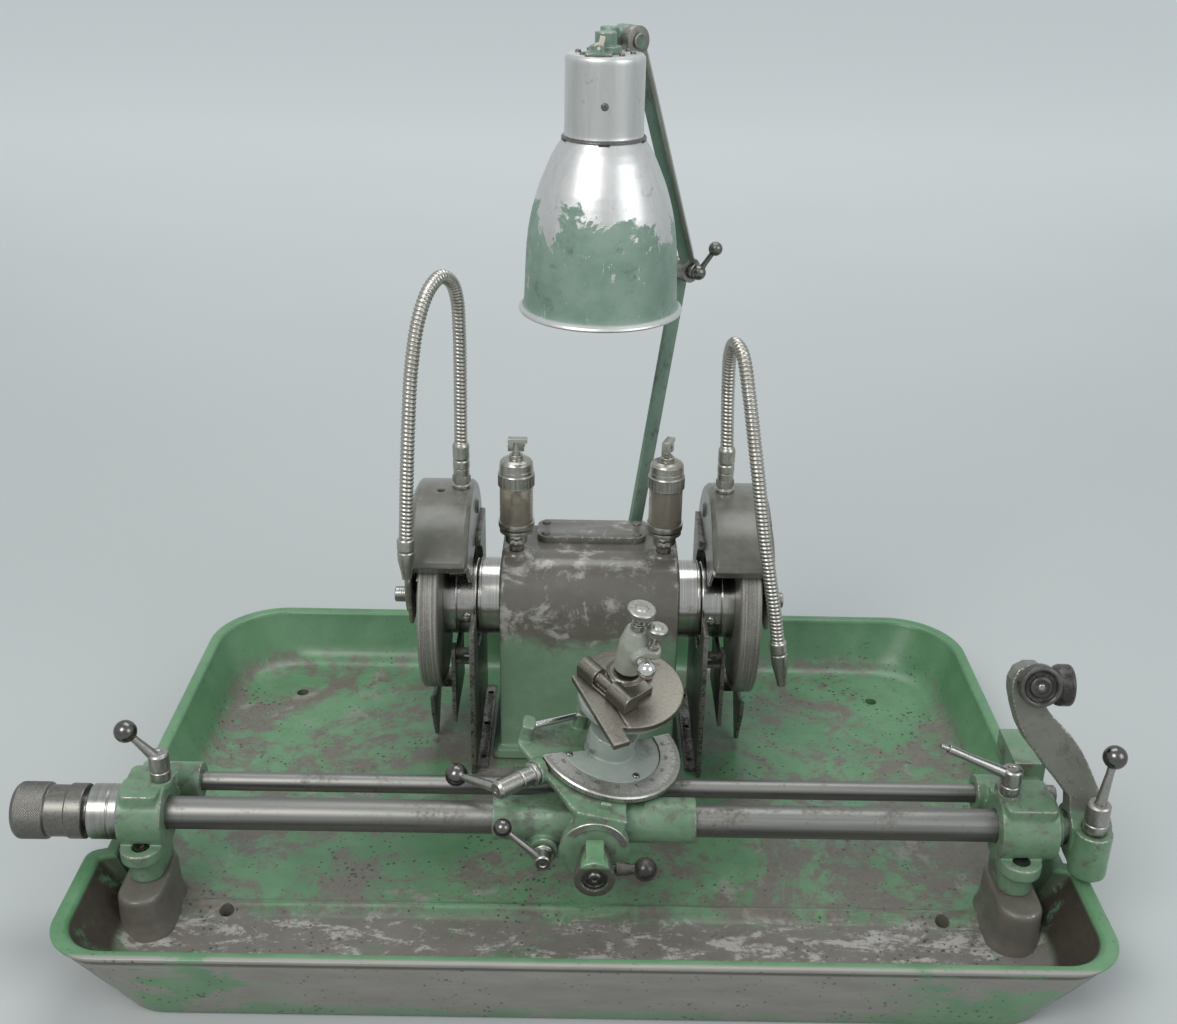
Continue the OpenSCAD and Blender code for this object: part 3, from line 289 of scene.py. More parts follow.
MATS = {name: kind(name, *look) for name, kind, *look in (
    ("tray_green", paint, GREEN_A, GREEN_B, MUD, BARE, 0.60, 0.655, 0.16, (0.30, 0.62), 1.0, 0.00022,
     tray_zones),
    ("headstock_paint", paint, (0.140, 0.235, 0.150), (0.205, 0.310, 0.215), MUD, (0.40, 0.385, 0.35), 0.60,
     0.64, 0.12, (0.16, 0.42), 1.1, 0.00008, head_zones),
    ("guard_paint", paint, (0.092, 0.092, 0.076), (0.165, 0.160, 0.135), (0.05, 0.045, 0.036),
     (0.50, 0.485, 0.44), 0.58, 0.62, 0.26, (0.24, 0.5), 1.6),
    ("green_paint", paint, (0.105, 0.198, 0.112), (0.178, 0.270, 0.182), (0.118, 0.112, 0.094),
     (0.42, 0.40, 0.36), 0.485, 0.60, 0.26, (0.30, 0.56), 2.2),
    ("lamp_paint", paint, (0.125, 0.205, 0.155), (0.185, 0.265, 0.205), (0.10, 0.095, 0.075),
     (0.36, 0.35, 0.31), 0.52, 0.62, 0.24, (0.3, 0.58), 2.4),
    ("cream_post", paint, (0.27, 0.285, 0.24), (0.36, 0.37, 0.32), (0.13, 0.12, 0.095), (0.5, 0.48, 0.44),
     0.55, 0.64, 0.25, (0.28, 0.5), 3.0),
    ("shade_metal", shade_zones),
    ("bare_steel", steel, (0.40, 0.39, 0.365), 0.36),
    ("bright_steel", steel, (0.72, 0.71, 0.68), 0.16, None, 0.06),
    ("dark_steel", steel, (0.20, 0.195, 0.18), 0.32, None, 0.2),
    ("cast_dark", steel, (0.22, 0.205, 0.175), 0.42, None, 0.35, 0.5, 0.00006),
    ("hose_metal", steel, (0.47, 0.455, 0.41), 0.34, None, 0.35),
    ("wheel_body", stone),
    ("bronze", steel, (0.48, 0.34, 0.16), 0.35, (900, 3, 3)),
    ("oiler_brass", steel, (0.44, 0.43, 0.385), 0.34, None, 0.35),
    ("oiler_glass", glass, (0.78, 0.73, 0.62), 0.14, 0.85),
    ("black_knob", bakelite),
    ("dial_metal", steel, (0.48, 0.475, 0.44), 0.42, None, 0.45, 0.5, 0.00005),
    ("bulb_glass", glass, (0.86, 0.83, 0.74), 0.35, 0.35),
    ("socket_plastic", bakelite),
    ("switch_plastic", paint, (0.46, 0.44, 0.37), (0.56, 0.54, 0.46), (0.2, 0.18, 0.14), (0.5, 0.48, 0.42),
     0.58, 0.8, 0.0, (0.35, 0.5), 4.0),
)}
BARS = steel("bars_steel", (0.245, 0.243, 0.228), 0.50, (4, 240, 240), 0.3, 0.55)
TURNED_X = steel("turned_x", (0.36, 0.356, 0.335), 0.33, (1100, 4, 4), 0.2, 0.5, 0.00002)
GRIP = steel("ball_steel", (0.16, 0.155, 0.145), 0.24, None, 0.12)
SLEEVE_STEEL = steel("sleeve_steel", (0.50, 0.49, 0.46), 0.22, (900, 4, 4), 0.2, 0.6, 0.00002)
BOSS = paint("boss_worn", (0.105, 0.098, 0.082), (0.165, 0.152, 0.128), (0.07, 0.064, 0.052),
             (0.40, 0.385, 0.35), 0.56, 0.60, 0.3, (0.3, 0.55), 1.4)
# Near-black paint for the guard plates under the wheels: painted shade for the shadow they sit in.
PLATE = paint("plate_painted_shade", (0.040, 0.038, 0.031), (0.085, 0.079, 0.064), (0.03, 0.027, 0.022),
              (0.30, 0.29, 0.26), 0.52, 0.63, 0.16, (0.34, 0.6), 1.6)


def arm_zones(m, col, mid, fine):
    """Paint worn to brown-grey over the curved part of the arm, green on its boss."""
    z = m.xyz(2)
    worn = m.step(m.add(z, m.mul(m.noise(30, 8, 0.7, 0.6), 0.06)), 0.155, 0.172)
    return m.mix(m.mul(worn, 0.88), col, m.mix(mid, (0.095, 0.09, 0.076), (0.19, 0.182, 0.16)))


def horn_zones(m, col, mid, fine):
    """Darker over the horn, the sloped front face kept green."""
    x, y, z = (m.xyz(i) for i in range(3))
    face = m.mul(m.mul(m.step(m.math("ABSOLUTE", m.add(x, -0.007)), 0.0125, 0.0105),
                       m.step(z, 0.117, 0.121)), m.step(y, -0.200, -0.206))
    return m.mix(m.mul(m.rest(face), 0.93), col, m.mix(fine, (0.035, 0.032, 0.026), (0.085, 0.079, 0.066)))


ARM = paint("arm_worn", (0.092, 0.190, 0.098), (0.150, 0.255, 0.155), (0.085, 0.078, 0.064),
            (0.45, 0.43, 0.39), 0.50, 0.60, 0.28, (0.28, 0.52), 2.0, other=arm_zones)
HORN = paint("horn_dark", (0.092, 0.200, 0.098), (0.145, 0.265, 0.150), (0.04, 0.036, 0.03),
             (0.36, 0.345, 0.31), 0.54, 0.62, 0.22, (0.26, 0.5), 2.4, other=horn_zones)
TURNTABLE = paint("turntable_paint", (0.235, 0.275, 0.245), (0.295, 0.33, 0.30), (0.11, 0.105, 0.09),
                  (0.46, 0.45, 0.41), 0.52, 0.60, 0.25, (0.28, 0.5), 2.4)
INK = paint("engraving", (0.02, 0.019, 0.017), (0.045, 0.042, 0.036), (0.06, 0.055, 0.045),
            (0.2, 0.19, 0.17), 0.6, 0.75, 0.0)
OIL = glass("oil", (0.26, 0.17, 0.07), 0.08, 0.6)


# ---------------------------------------------------------------- mesh helpers, millimetres
def rounded(prof, f):
    """Profile with its corners rounded, and a support ring beside each."""
    out = []
    P = [Vector(p) for p in prof]
    for i, p in enumerate(P):
        if i in (0, len(P) - 1) or p.x < 1e-6:
            out.append(p)
            continue
        a, b = P[i - 1] - p, P[i + 1] - p
        la, lb = a.length, b.length
        if la < 1e-6 or lb < 1e-6 or a.normalized().dot(b.normalized()) < -0.985:
            out.append(p)
            continue
        d = min(f, la * 0.42, lb * 0.42)
        a, b = a / la, b / lb
        if la > 6 * d:
            out.append(p + a * d * 2.5)
        for t in (0.0, 0.33, 0.67, 1.0):
            out.append((1 - t) ** 2 * (p + a * d) + 2 * t * (1 - t) * p + t * t * (p + b * d))
        if lb > 6 * d:
            out.append(p + b * d * 2.5)
    return out


class Build:
    """Collects the surfaces of one piece; self.M places what is added next."""

    def __init__(self, M=None):
        self.v, self.f = [], []
        self.M = M or Matrix.Identity(4)

    def add(self, v, f):
        o = len(self.v)
        self.v += [self.M @ Vector(p) for p in v]
        self.f += [tuple(i + o for i in q) for q in f]
        return self

    def lathe(self, prof, o, a, n, f, step=None, disp=None):
        """Turns (radius, along) round the axis a through o, in n steps with edges rounded by f."""
        a = Vector(a).normalized()
        u = a.orthogonal().normalized()
        w = a.cross(u)
        pts = rounded(prof, f)
        if step:
            fine = [pts[0]]
            for p in pts[1:]:
                k = max(1, math.ceil((p - fine[-1]).length / step))
                q = fine[-1].copy()
                fine += [q + (p - q) * (j + 1) / k for j in range(k)]
            pts = fine
        o = Vector(o)
        v, faces = [], []
        for r, t in pts:
            for j in range(n):
                th = 2 * math.pi * j / n
                rr = r + (disp(th, t, r) if disp else 0)
                v.append(o + a * t + (u * math.cos(th) + w * math.sin(th)) * max(rr, 0))
        for i in range(len(pts) - 1):
            for j in range(n):
                k = (j + 1) % n
                faces.append((i * n + j, i * n + k, (i + 1) * n + k, (i + 1) * n + j))
        if prof[0][0] > 1e-6 and prof[-1][0] > 1e-6 and (Vector(prof[0]) - Vector(prof[-1])).length > 1e-6:
            faces.append(tuple(reversed(range(n))))
            faces.append(tuple((len(pts) - 1) * n + j for j in range(n)))
        return self.add(v, faces)

    def rod(self, p, q, r, r2=None, f=0.4, n=32):
        p, q = Vector(p), Vector(q)
        r2 = r if r2 is None else r2
        return self.lathe([(0, 0), (r, 0), (r2, (q - p).length), (0, (q - p).length)], p, q - p, n, f)

    def taper(self, p, q, rings, n=40, f=0.4):
        """Rod from p to q through (radius, share of the length) rings."""
        p, q = Vector(p), Vector(q)
        L = (q - p).length
        return self.lathe([(0, 0)] + [(r, L * t) for r, t in rings] + [(0, L)], p, q - p, n, f)

    def arc(self, prof, start, turn, n):
        """Part of a ring: the closed profile (radius, height) turned round Z, in degrees."""
        v, faces, k = [], [], len(prof)
        for i in range(n + 1):
            a = math.radians(start + turn * i / n)
            v += [(r * math.cos(a), r * math.sin(a), z) for r, z in prof]
        for i in range(n):
            faces += [(i * k + j, i * k + (j + 1) % k, (i + 1) * k + (j + 1) % k,
                       (i + 1) * k + j) for j in range(k)]
        faces += [tuple(range(k)), tuple(n * k + j for j in reversed(range(k)))]
        return self.add(v, faces)

    def ball(self, p, r):
        half = [t * math.pi / 24 for t in range(25)]
        return self.lathe([(r * math.sin(t), -r * math.cos(t)) for t in half], p, Z, 40, 0)

    def turn(self, prof, n, f, *more):
        """A lathe round the local Z axis."""
        return self.lathe(prof, (0, 0, 0), Z, n, f, *more)

    def box(self, lo, hi, r):
        bm = bmesh.new()
        bmesh.ops.create_cube(bm, size=1)
        lo, hi = Vector(lo), Vector(hi)
        for x in bm.verts:
            x.co = (lo + hi) / 2 + Vector(c * s for c, s in zip(x.co, hi - lo))
        bmesh.ops.bevel(bm, geom=bm.edges[:], offset=min(r, 0.45 * min(hi - lo)), segments=2,
                        affect="EDGES", profile=0.5)
        v = [x.co.copy() for x in bm.verts]
        f = [tuple(x.index for x in q.verts) for q in bm.faces]
        bm.free()
        return self.add(v, f)

    def sweep(self, path, radius, n=20):
        """Round tube along path; radius is a number or a function of (length so far, angle)."""
        P = [Vector(p) for p in path]
        T = [(P[min(i + 1, len(P) - 1)] - P[max(i - 1, 0)]).normalized() for i in range(len(P))]
        u = T[0].orthogonal().normalized()
        s, v, faces = 0.0, [], []
        for i, p in enumerate(P):
            if i:
                s += (p - P[i - 1]).length
                u = (u - T[i] * u.dot(T[i])).normalized()
            w = T[i].cross(u)
            for j in range(n):
                th = 2 * math.pi * j / n
                r = radius(s, th) if callable(radius) else radius
                v.append(p + (u * math.cos(th) + w * math.sin(th)) * r)
        for i in range(len(P) - 1):
            for j in range(n):
                k = (j + 1) % n
                faces.append((i * n + j, i * n + k, (i + 1) * n + k, (i + 1) * n + j))
        faces.append(tuple(reversed(range(n))))
        faces.append(tuple((len(P) - 1) * n + j for j in range(n)))
        return self.add(v, faces)

    def prism(self, poly, z0, z1):
        n = len(poly)
        v = [(x, y, z0) for x, y in poly] + [(x, y, z1) for x, y in poly]
        f = [tuple(reversed(range(n))), tuple(range(n, 2 * n))]
        f += [(i, (i + 1) % n, n + (i + 1) % n, n + i) for i in range(n)]
        return self.add(v, f)

    def mesh(self, name):
        me = bpy.data.meshes.new(name)
        me.from_pydata([v * 0.001 for v in self.v], [], self.f)
        bm = bmesh.new()
        bm.from_mesh(me)
        bmesh.ops.remove_doubles(bm, verts=bm.verts, dist=1e-7)
        bmesh.ops.recalc_face_normals(bm, faces=bm.faces)
        bm.to_mesh(me)
        bm.free()
        return me

    def make(self, name, node=None, mat=None, body=None, slot=None, angle=38, wear=True):
        """The finished piece; node is the CAD node, or a list of them, that it stands for."""
        return finish_piece(self.mesh(name), name, node, mat, body, slot, angle, wear)


def add_wear(me):
    """Convex curvature of the mesh, 0 to 1, for worn edges."""
    lo, hi = 90.0, 520.0  # curvature per metre where wear starts and is full
    n = len(me.vertices)
    co = np.empty(n * 3)
    no = np.empty(n * 3)
    me.vertices.foreach_get("co", co)
    me.vertices.foreach_get("normal", no)
    co, no = co.reshape(-1, 3), no.reshape(-1, 3)
    e = np.empty(len(me.edges) * 2, np.int64)
    me.edges.foreach_get("vertices", e)
    a, b = e[0::2], e[1::2]
    d = co[a] - co[b]
    k = ((no[a] - no[b]) * d).sum(1) / np.maximum((d * d).sum(1), 1e-10)
    tot, cnt = np.zeros(n), np.zeros(n)
    for i in (a, b):
        np.add.at(tot, i, k)
        np.add.at(cnt, i, 1)
    w = tot / np.maximum(cnt, 1)
    for _ in range(2):
        s = np.zeros(n)
        np.add.at(s, a, w[b])
        np.add.at(s, b, w[a])
        w = 0.5 * w + 0.5 * s / np.maximum(cnt, 1)
    w = np.clip((w - lo) / (hi - lo), 0, 1)
    at = me.attributes.new("wear", "FLOAT", "POINT")
    at.data.foreach_set("value", w.astype(np.float32))


def finish_piece(me, name, node=None, mat=None, body=None, slot=None, angle=38, wear=True):
    """Links the mesh as a piece with its material, picked by slot when none is given, and its body, and
    hides the CAD nodes it replaces.
    """
    nodes = [node] if isinstance(node, str) else list(node or [])
    me.shade_smooth()
    me.set_sharp_from_angle(angle=math.radians(angle))
    if wear:
        add_wear(me)
    o = bpy.data.objects.new(name, me)
    scene.collection.objects.link(o)
    body = body or BODY[nodes[0]]
    slot = slot or SLOT[nodes[0]]
    me.materials.clear()
    me.materials.append(mat or MATS[slot])
    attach(o, body)
    for n in nodes:
        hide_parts(n)
    return o


def evaluated(me, setup):
    """The mesh after the modifiers that setup adds to a scratch object."""
    o = bpy.data.objects.new("scratch", me)
    scene.collection.objects.link(o)
    setup(o)
    bpy.context.view_layer.update()
    out = bpy.data.meshes.new_from_object(o.evaluated_get(bpy.context.evaluated_depsgraph_get()))
    bpy.data.objects.remove(o)
    return out


def cad_mesh(node):
    """A welded copy of a CAD node's mesh."""
    bm = bmesh.new()
    bm.from_mesh(NODES[node].data)
    bmesh.ops.remove_doubles(bm, verts=bm.verts, dist=2e-6)
    me = bpy.data.meshes.new(node + "_copy")
    bm.to_mesh(me)
    bm.free()
    return me


def soften(voxel, smooth):
    """Modifiers that round every edge; voxel is in millimetres."""
    def setup(o):
        r = o.modifiers.new("r", "REMESH")
        r.mode, r.voxel_size, r.adaptivity = "VOXEL", voxel * 0.001, 0.0
        s = o.modifiers.new("s", "SMOOTH")
        s.factor, s.iterations = 0.5, smooth
    return setup


def cast(node, voxel, smooth, mat=None):
    """A casting: the CAD shape with its edges softened the way a sand casting's are."""
    me = evaluated(cad_mesh(node), soften(voxel, smooth))
    return finish_piece(me, node + "_cast", node, mat, angle=60)


def bevelled(node, width, mat=None, plus=None):
    """A machined or pressed part: the CAD shape with small rounded edges."""
    me = cad_mesh(node)
    bm = bmesh.new()
    bm.from_mesh(me)
    bmesh.ops.dissolve_limit(bm, angle_limit=math.radians(0.6), verts=bm.verts, edges=bm.edges)
    bm.to_mesh(me)
    bm.free()

    def setup(o):
        b = o.modifiers.new("b", "BEVEL")
        b.width, b.segments, b.limit_method, b.angle_limit = width * 0.001, 2, "ANGLE", math.radians(32)
        b.use_clamp_overlap = True
    me = evaluated(me, setup)
    if plus:
        bm = bmesh.new()
        bm.from_mesh(me)
        bm.from_mesh(plus.mesh(node + "_plus"))
        bm.to_mesh(me)
        bm.free()
    return finish_piece(me, node + "_edged", node, mat, angle=36)


def keep(node):
    """A CAD node that stays, with its material."""
    o = NODES[node]
    for s in o.material_slots:
        s.material = MATS[SLOT[node]]
    if not o.material_slots:
        o.data.materials.append(MATS[SLOT[node]])


def R(x=0, y=0, z=0):
    return Euler([math.radians(v) for v in (x, y, z)], "XYZ").to_matrix().to_4x4()


def T(*p):
    return Matrix.Translation(Vector(p[0] if len(p) == 1 else p))


def both(b, fn):
    """Adds fn(b) on the right and mirrored on the left."""
    M = b.M
    fn(b)
    b.M = Matrix.Diagonal((-1, 1, 1, 1)) @ M
    fn(b)
    b.M = M


def marks(b, name, body, slot):
    """Engraved lines or dark slots, as a piece of their own."""
    b.make(name, None, INK, body, slot, wear=False)


def grip_ball(name, body, at, r):
    Build().ball(at, r).make(name, None, GRIP, body, "bare_steel")


def hexagon(r):
    return [(r * math.cos(k * math.pi / 3), r * math.sin(k * math.pi / 3)) for k in range(6)]


def pair(fn, name, node, mat=None):
    """One piece from fn(b) and its mirror image."""
    b = Build()
    both(b, fn)
    b.make(name, node, mat)


# ---------------------------------------------------------------- shared sizes, millimetres
SPINDLE = Vector((0, 118, 183))
TUBE = Vector((0, -165, 115))
T_TILT = T(7, 0, 107) @ R(y=12.5)
T_DIAL = T_TILT @ T(1, -115, 52.5) @ R(x=6.5)
T_TABLE = T(35.5, -98, 209) @ R(13.3, 2.5, 0)
T_POST = T_TABLE @ T(-3, 10, 0) @ R(-3.5, 6, 0)
T_ARM = T(0, -166, 115) @ R(x=-15)
T_SHADE = T(5, 91, 501)
X = (1, 0, 0)
Z = (0, 0, 1)
LAMP_AXIS = Vector((0.67034, -0.742377, 0))
ELBOW = Vector((88, 187, 514))


# ---------------------------------------------------------------- tray
def rect_sd(px, py, hw, y0, y1, r0, r1):
    """Signed distance to a rectangle whose front corners have radius r0 and rear ones r1."""
    cy, hh = (y0 + y1) / 2, (y1 - y0) / 2
    r = np.where(py > cy, r1, r0)
    qx, qy = np.abs(px) - hw + r, np.abs(py - cy) - hh + r
    return np.hypot(np.maximum(qx, 0), np.maximum(qy, 0)) + np.minimum(np.maximum(qx, qy), 0) - r


def reach(th, shape, c):
    lo, hi = np.zeros_like(th), np.full_like(th, 700.0)
    for _ in range(34):
        m = (lo + hi) / 2
        inside = rect_sd(c[0] + m * np.cos(th), c[1] + m * np.sin(th), *shape) < 0
        lo, hi = np.where(inside, m, lo), np.where(inside, hi, m)
    return lo


def tray_outline(th, c, z, inset, inner):
    """Ray length to the pan and basin outline at height z, moved in by inset."""
    i = inset
    if inner:
        t, u = (78 - z) / 56, (78 - z) / 60
        pan = (417 - 24 * t - i, -220, 274 - 26 * t - i, 12, max(4, 72 - i))
        bas = (433 - 44 * u - i, -295 + 28 * u + i, -174, max(4, 40 - i), 6)
    else:
        t = (75 - z) / 63
        pan = (425 - 22 * t - i, -186, 282 - 26 * t - i, 20, max(4, 78 - i))
        bas = (441 - 42 * t - i, -303 + 15.5 * t + i, -166, max(4, 46 - i), 12)
    return np.maximum(reach(th, pan, c), reach(th, bas, c))


def build_tray():
    c = (0.0, -175.5)
    n = 960
    th = np.linspace(0, 2 * math.pi, n, endpoint=False)
    wob = 0.5 * np.sin(5 * th + 1) + 0.35 * np.sin(11 * th) + 0.2 * np.sin(23 * th + 2)
    rings = [(12.0, 9.0, 0), (11.0, 8.0, 0), (2.0, 7.0, 0), (1.0, 6.0, 0), (1.0, 2.4, 0), (1.6, 1.0, 0),
             (3.4, 0.1, 0), (10, 0, 0), (17, 0, 0)]
    rings += [(z, 0.0, 0) for z in (24, 32, 40, 48, 56, 62, 66.5)]
    rings += [(69.4, 0.5, 0), (70.4, -0.3, 0), (71.6, -0.8, 0), (73.2, -0.8, 0), (74.3, 0.1, 0),
              (74.9, 1.3, 0), (75, 2.6, 0)]
    rings += [(74.8, -1.2, 1), (74.2, 0.2, 1), (73, 0.9, 1), (71, 0.6, 1), (68, 0.2, 1)]
    rings += [(z, 0.0, 1) for z in (62, 56, 50, 45, 41)]
    rc = 15.0
    for k in range(1, 9):
        a = math.radians(90 * k / 8)
        rings.append((22 + rc * (1 - math.sin(a)), rc * (1 - math.cos(a)) * 0.9, 1))
    v, f = [], []
    for z, inset, inner in rings:
        r = tray_outline(th, c, z, inset, inner)
        if inner and z < 60:
            zz = z + 0.35 * wob
        else:
            zz = np.full(n, z) + (0.25 * wob if z > 70 else 0)
        v += list(zip(c[0] + r * np.cos(th), c[1] + r * np.sin(th), zz))
    m = len(rings)
    fr = [1 - 0.5 * (k / 60) if k <= 30 else 0.75 - 0.75 * (k - 30) / 42 for k in range(1, 73)]
    for s in fr[:-1]:
        px, py = c[0] + r * s * np.cos(th), c[1] + r * s * np.sin(th)
        step = np.clip((-170 - py) / 17, 0, 1)
        step = step * step * (3 - 2 * step)
        ridge = 2.2 * np.exp(-(((py + 171) / 3.0) ** 2)) * np.clip((392 - np.abs(px)) / 20, 0, 1)
        wave = 0.5 * np.sin(px / 37 + 1) * np.sin(py / 29) + 0.3 * np.sin(px / 13 + py / 17)
        edge = np.clip((1 - s) * 12, 0, 1)
        v += list(zip(px, py, 22 - 4.0 * step * edge + (ridge + wave) * edge))
    for i in range(m + len(fr) - 2):
        for j in range(n):
            k = (j + 1) % n
            f.append((i * n + j, i * n + k, (i + 1) * n + k, (i + 1) * n + j))
    last = (m + len(fr) - 2) * n
    v.append((c[0], c[1], 22.0))
    f += [(last + j, last + (j + 1) % n, len(v) - 1) for j in range(n)]
    v.append((c[0], c[1], 12.0))
    f += [((j + 1) % n, j, len(v) - 1) for j in range(n)]
    b = Build().add(v, f)
    me = b.mesh("tray_shell")
    cut = Build().box((-38, 90, -20), (38, 146, 60), 3)
    for x in (-320, 320):
        for y in (-180, 180):
            cut.lathe([(0, -20), (6.5, -20), (6.5, 60), (0, 60)], (x, y, 0), Z, 32, 0)
    tool = bpy.data.objects.new("cutter", cut.mesh("cutter"))
    scene.collection.objects.link(tool)

    def setup(o):
        d = o.modifiers.new("d", "BOOLEAN")
        d.operation, d.solver, d.object = "DIFFERENCE", "MANIFOLD", tool
    me = evaluated(me, setup)
    bpy.data.objects.remove(tool)
    finish_piece(me, "tray_shell", "tray", angle=50)
    b = Build()
    for x in (-385, 377):
        prof = [(0, 14), (25.5, 14), (24.6, 22), (22.2, 28), (20.6, 36), (20.0, 58), (18.2, 61.6), (0, 62)]
        for s in np.linspace(-202.1, -159.9, 15):
            b.lathe(prof, (x, float(s), 0), Z, 48, 0.0)
    me = evaluated(b.mesh("boss"), soften(1.2, 14))
    finish_piece(me, "tray_bosses", None, BOSS, "base", "tray_green", 60)
    b = Build()
    for x in (-320, 320):
        for y in (-180, 180):
            b.lathe([(6.5, 0), (26, 0), (26, 14), (6.5, 14), (6.5, 0.01)], (x, y, 0), Z, 64, 0.8)
    b.make("tray_feet", body="base", slot="tray_green")


build_tray()

# ---------------------------------------------------------------- headstock and spindle
cast("headstock", 1.5, 9)
plus = Build()
for x in (-46, 49):
    for y in (147, 173):
        plus.lathe([(0, 0), (4.6, 0), (4.6, 1.6), (3.4, 3.0), (0, 3.2)], (x, y, 241), Z, 24, 0.3)
bevelled("headstock_cover", 1.2, plus=plus)
keep("bearing_bushes")
keep("bracket_screws")
keep("pulley")


def cap(b):
    b.lathe([(16, 90), (39.2, 90), (40, 91), (40, 109.6), (39.7, 109.8), (39.7, 110.3), (40, 110.5),
             (40, 112.4), (39.4, 113), (16, 113), (16, 90.01)], SPINDLE, X, 96, 0.5)


pair(cap, "bearing_cap_turned", "bearing_caps", SLEEVE_STEEL)


def hub(b):
    b.lathe([(15, 114), (38.4, 114), (39.2, 115), (39.2, 133.4), (38.8, 133.8), (38.8, 134.5),
             (39.6, 134.9), (39.6, 147.4), (39.4, 148), (12, 148), (12, 134.5), (15, 134.4), (15, 114.01)],
            SPINDLE, X, 128, 0.4)
    b.lathe([(0, 0), (4.4, 0), (4.6, 6.8), (4.0, 7.6), (2.2, 7.9), (0, 8.0)], (124, 84.6, 179), (0, -1, 0),
            32, 0.3)
    b.box((119.8, 76.3, 178.5), (128.2, 77.4, 179.5), 0.2)
    for k in range(3):
        a = math.radians(25 + 120 * k)
        b.lathe([(0, 0), (2.6, 0), (2.6, 1.4), (0, 1.5)], (130, 118 + 38 * math.cos(a),
                                                           183 + 38 * math.sin(a)),
                (0, math.cos(a), math.sin(a)), 20, 0.2)


pair(hub, "wheel_hub_turned", "wheel_hubs", SLEEVE_STEEL)


def wheel(b):
    b.lathe([(12, 148), (84, 148), (86.6, 149.1), (90, 149.1), (90.6, 148), (93.4, 148), (95, 149.6),
             (95, 166.4), (93.6, 168), (60, 168), (57, 166.4), (52, 166.4), (50, 168), (12, 168),
             (12, 148.01)], SPINDLE, X, 160, 0.5)


pair(wheel, "wheel_disc", "wheels")


def nut(b):
    b.lathe([(12, 168), (34, 168), (34, 172), (30, 175), (12, 175)], SPINDLE, X, 96, 0.5)
    M = b.M
    b.M = M @ T(174, 118, 183) @ R(y=90)
    b.prism(hexagon(15), 0, 9.5)
    b.turn([(0, 9), (13.4, 9), (11.5, 11), (0, 11)], 48, 0.2)
    b.M = M


pair(nut, "wheel_nut_hex", "wheel_nuts")
b = Build().lathe([(0, -201), (7, -201), (8, -200), (8, -186), (12, -185.6), (12, -134), (15, -133.6),
                   (15, 133.6), (12, 134), (12, 185.6), (8, 186), (8, 200), (7, 201), (0, 201)], SPINDLE, X,
                  64, 0.3)
for s in (-1, 1):
    for k in range(5):
        b.lathe([(7.4, 0), (8.25, 0.7), (7.4, 1.4)], (s * (187.5 + 2.4 * k), 118, 183), X, 48, 0)
b.make("spindle_turned", "spindle", TURNED_X)

# ---------------------------------------------------------------- guards
cast("guard_left", 1.15, 9)
cast("guard_right", 1.15, 9)
bevelled("guard_plates", 0.7, PLATE)
b = Build()
for s in (-1, 1):
    for y, z in ((84, 286), (196, 240)):
        b.lathe([(0, 0), (4.4, 0), (4.4, 0.8), (3.4, 2.0), (0, 2.3)], (s * 176.0, y, z), (s, 0, 0), 24, 0.3)
        b.box((s * 178.3 - 0.3, y - 3.3, z - 0.35), (s * 178.3 + 0.3, y + 3.3, z + 0.35), 0.1)
b.make("guard_screws", body="base", slot="dark_steel")


# ---------------------------------------------------------------- swan-neck coolant hoses
def spline(pts, step):
    """Smooth curve through the points, resampled evenly."""
    P = [Vector(p) for p in pts]
    P = [P[0] * 2 - P[1]] + P + [P[-1] * 2 - P[-2]]
    out = []
    for i in range(1, len(P) - 2):
        a, b, c, d = P[i - 1:i + 3]
        ta, tb, tc = ((q - p).length ** 0.5 for p, q in ((a, b), (b, c), (c, d)))
        m1 = ((b - a) / ta - (c - a) / (ta + tb) + (c - b) / tb) * tb
        m2 = ((c - b) / tb - (d - b) / (tb + tc) + (d - c) / tc) * tb
        for k in range(40):
            t = k / 40
            out.append(b * (2 * t ** 3 - 3 * t * t + 1) + m1 * (t ** 3 - 2 * t * t + t)
                       + c * (3 * t * t - 2 * t ** 3) + m2 * (t ** 3 - t * t))
    out.append(P[-2])
    res, left = [out[0]], step
    for p, q in zip(out, out[1:]):
        L = (q - p).length
        at = 0.0
        while L - at >= left:
            at += left
            res.append(p + (q - p) * (at / L))
            left = step
        left -= L - at
    res.append(out[-1])
    return res


def gooseneck(side, pts, tip, sleeve_top):
    path = spline(pts, 0.55)
    pitch = 3.9

    def ribs(s, th):
        ph = (s / pitch + th / (2 * math.pi)) % 1.0
        return 5.75 + 0.95 * math.sin(math.pi * min(1.0, ph / 0.8)) ** 0.6 * (1 if ph < 0.8 else 0)
    Build().sweep(path, ribs, 28).make("hose_neck_" + side, "gooseneck_" + side, angle=70)
    x, y = pts[0][0], pts[0][1]
    b = Build().lathe([(0, 325.3), (8.4, 325.3), (8.4, 333), (7.7, 334), (7.7, 335), (8.4, 336),
                       (8.4, sleeve_top - 3), (7.0, sleeve_top), (0, sleeve_top)], (x, y, 0), Z, 48, 0.5)
    e, t = Vector(pts[-1]), Vector(tip)
    d = (t - e).normalized()
    L = (t - e).length
    b.lathe([(0, -7), (7.4, -7), (8.2, -5.5), (8.2, 4), (7.6, 5), (7.6, 6), (8.2, 7), (7.8, L * 0.45),
             (5.2, L * 0.8), (4.4, L), (2.6, L), (2.6, L - 8), (0, L - 8)], e, d, 48, 0.4)
    b.make("hose_fittings_" + side, body="hose_" + side, slot="oiler_brass")


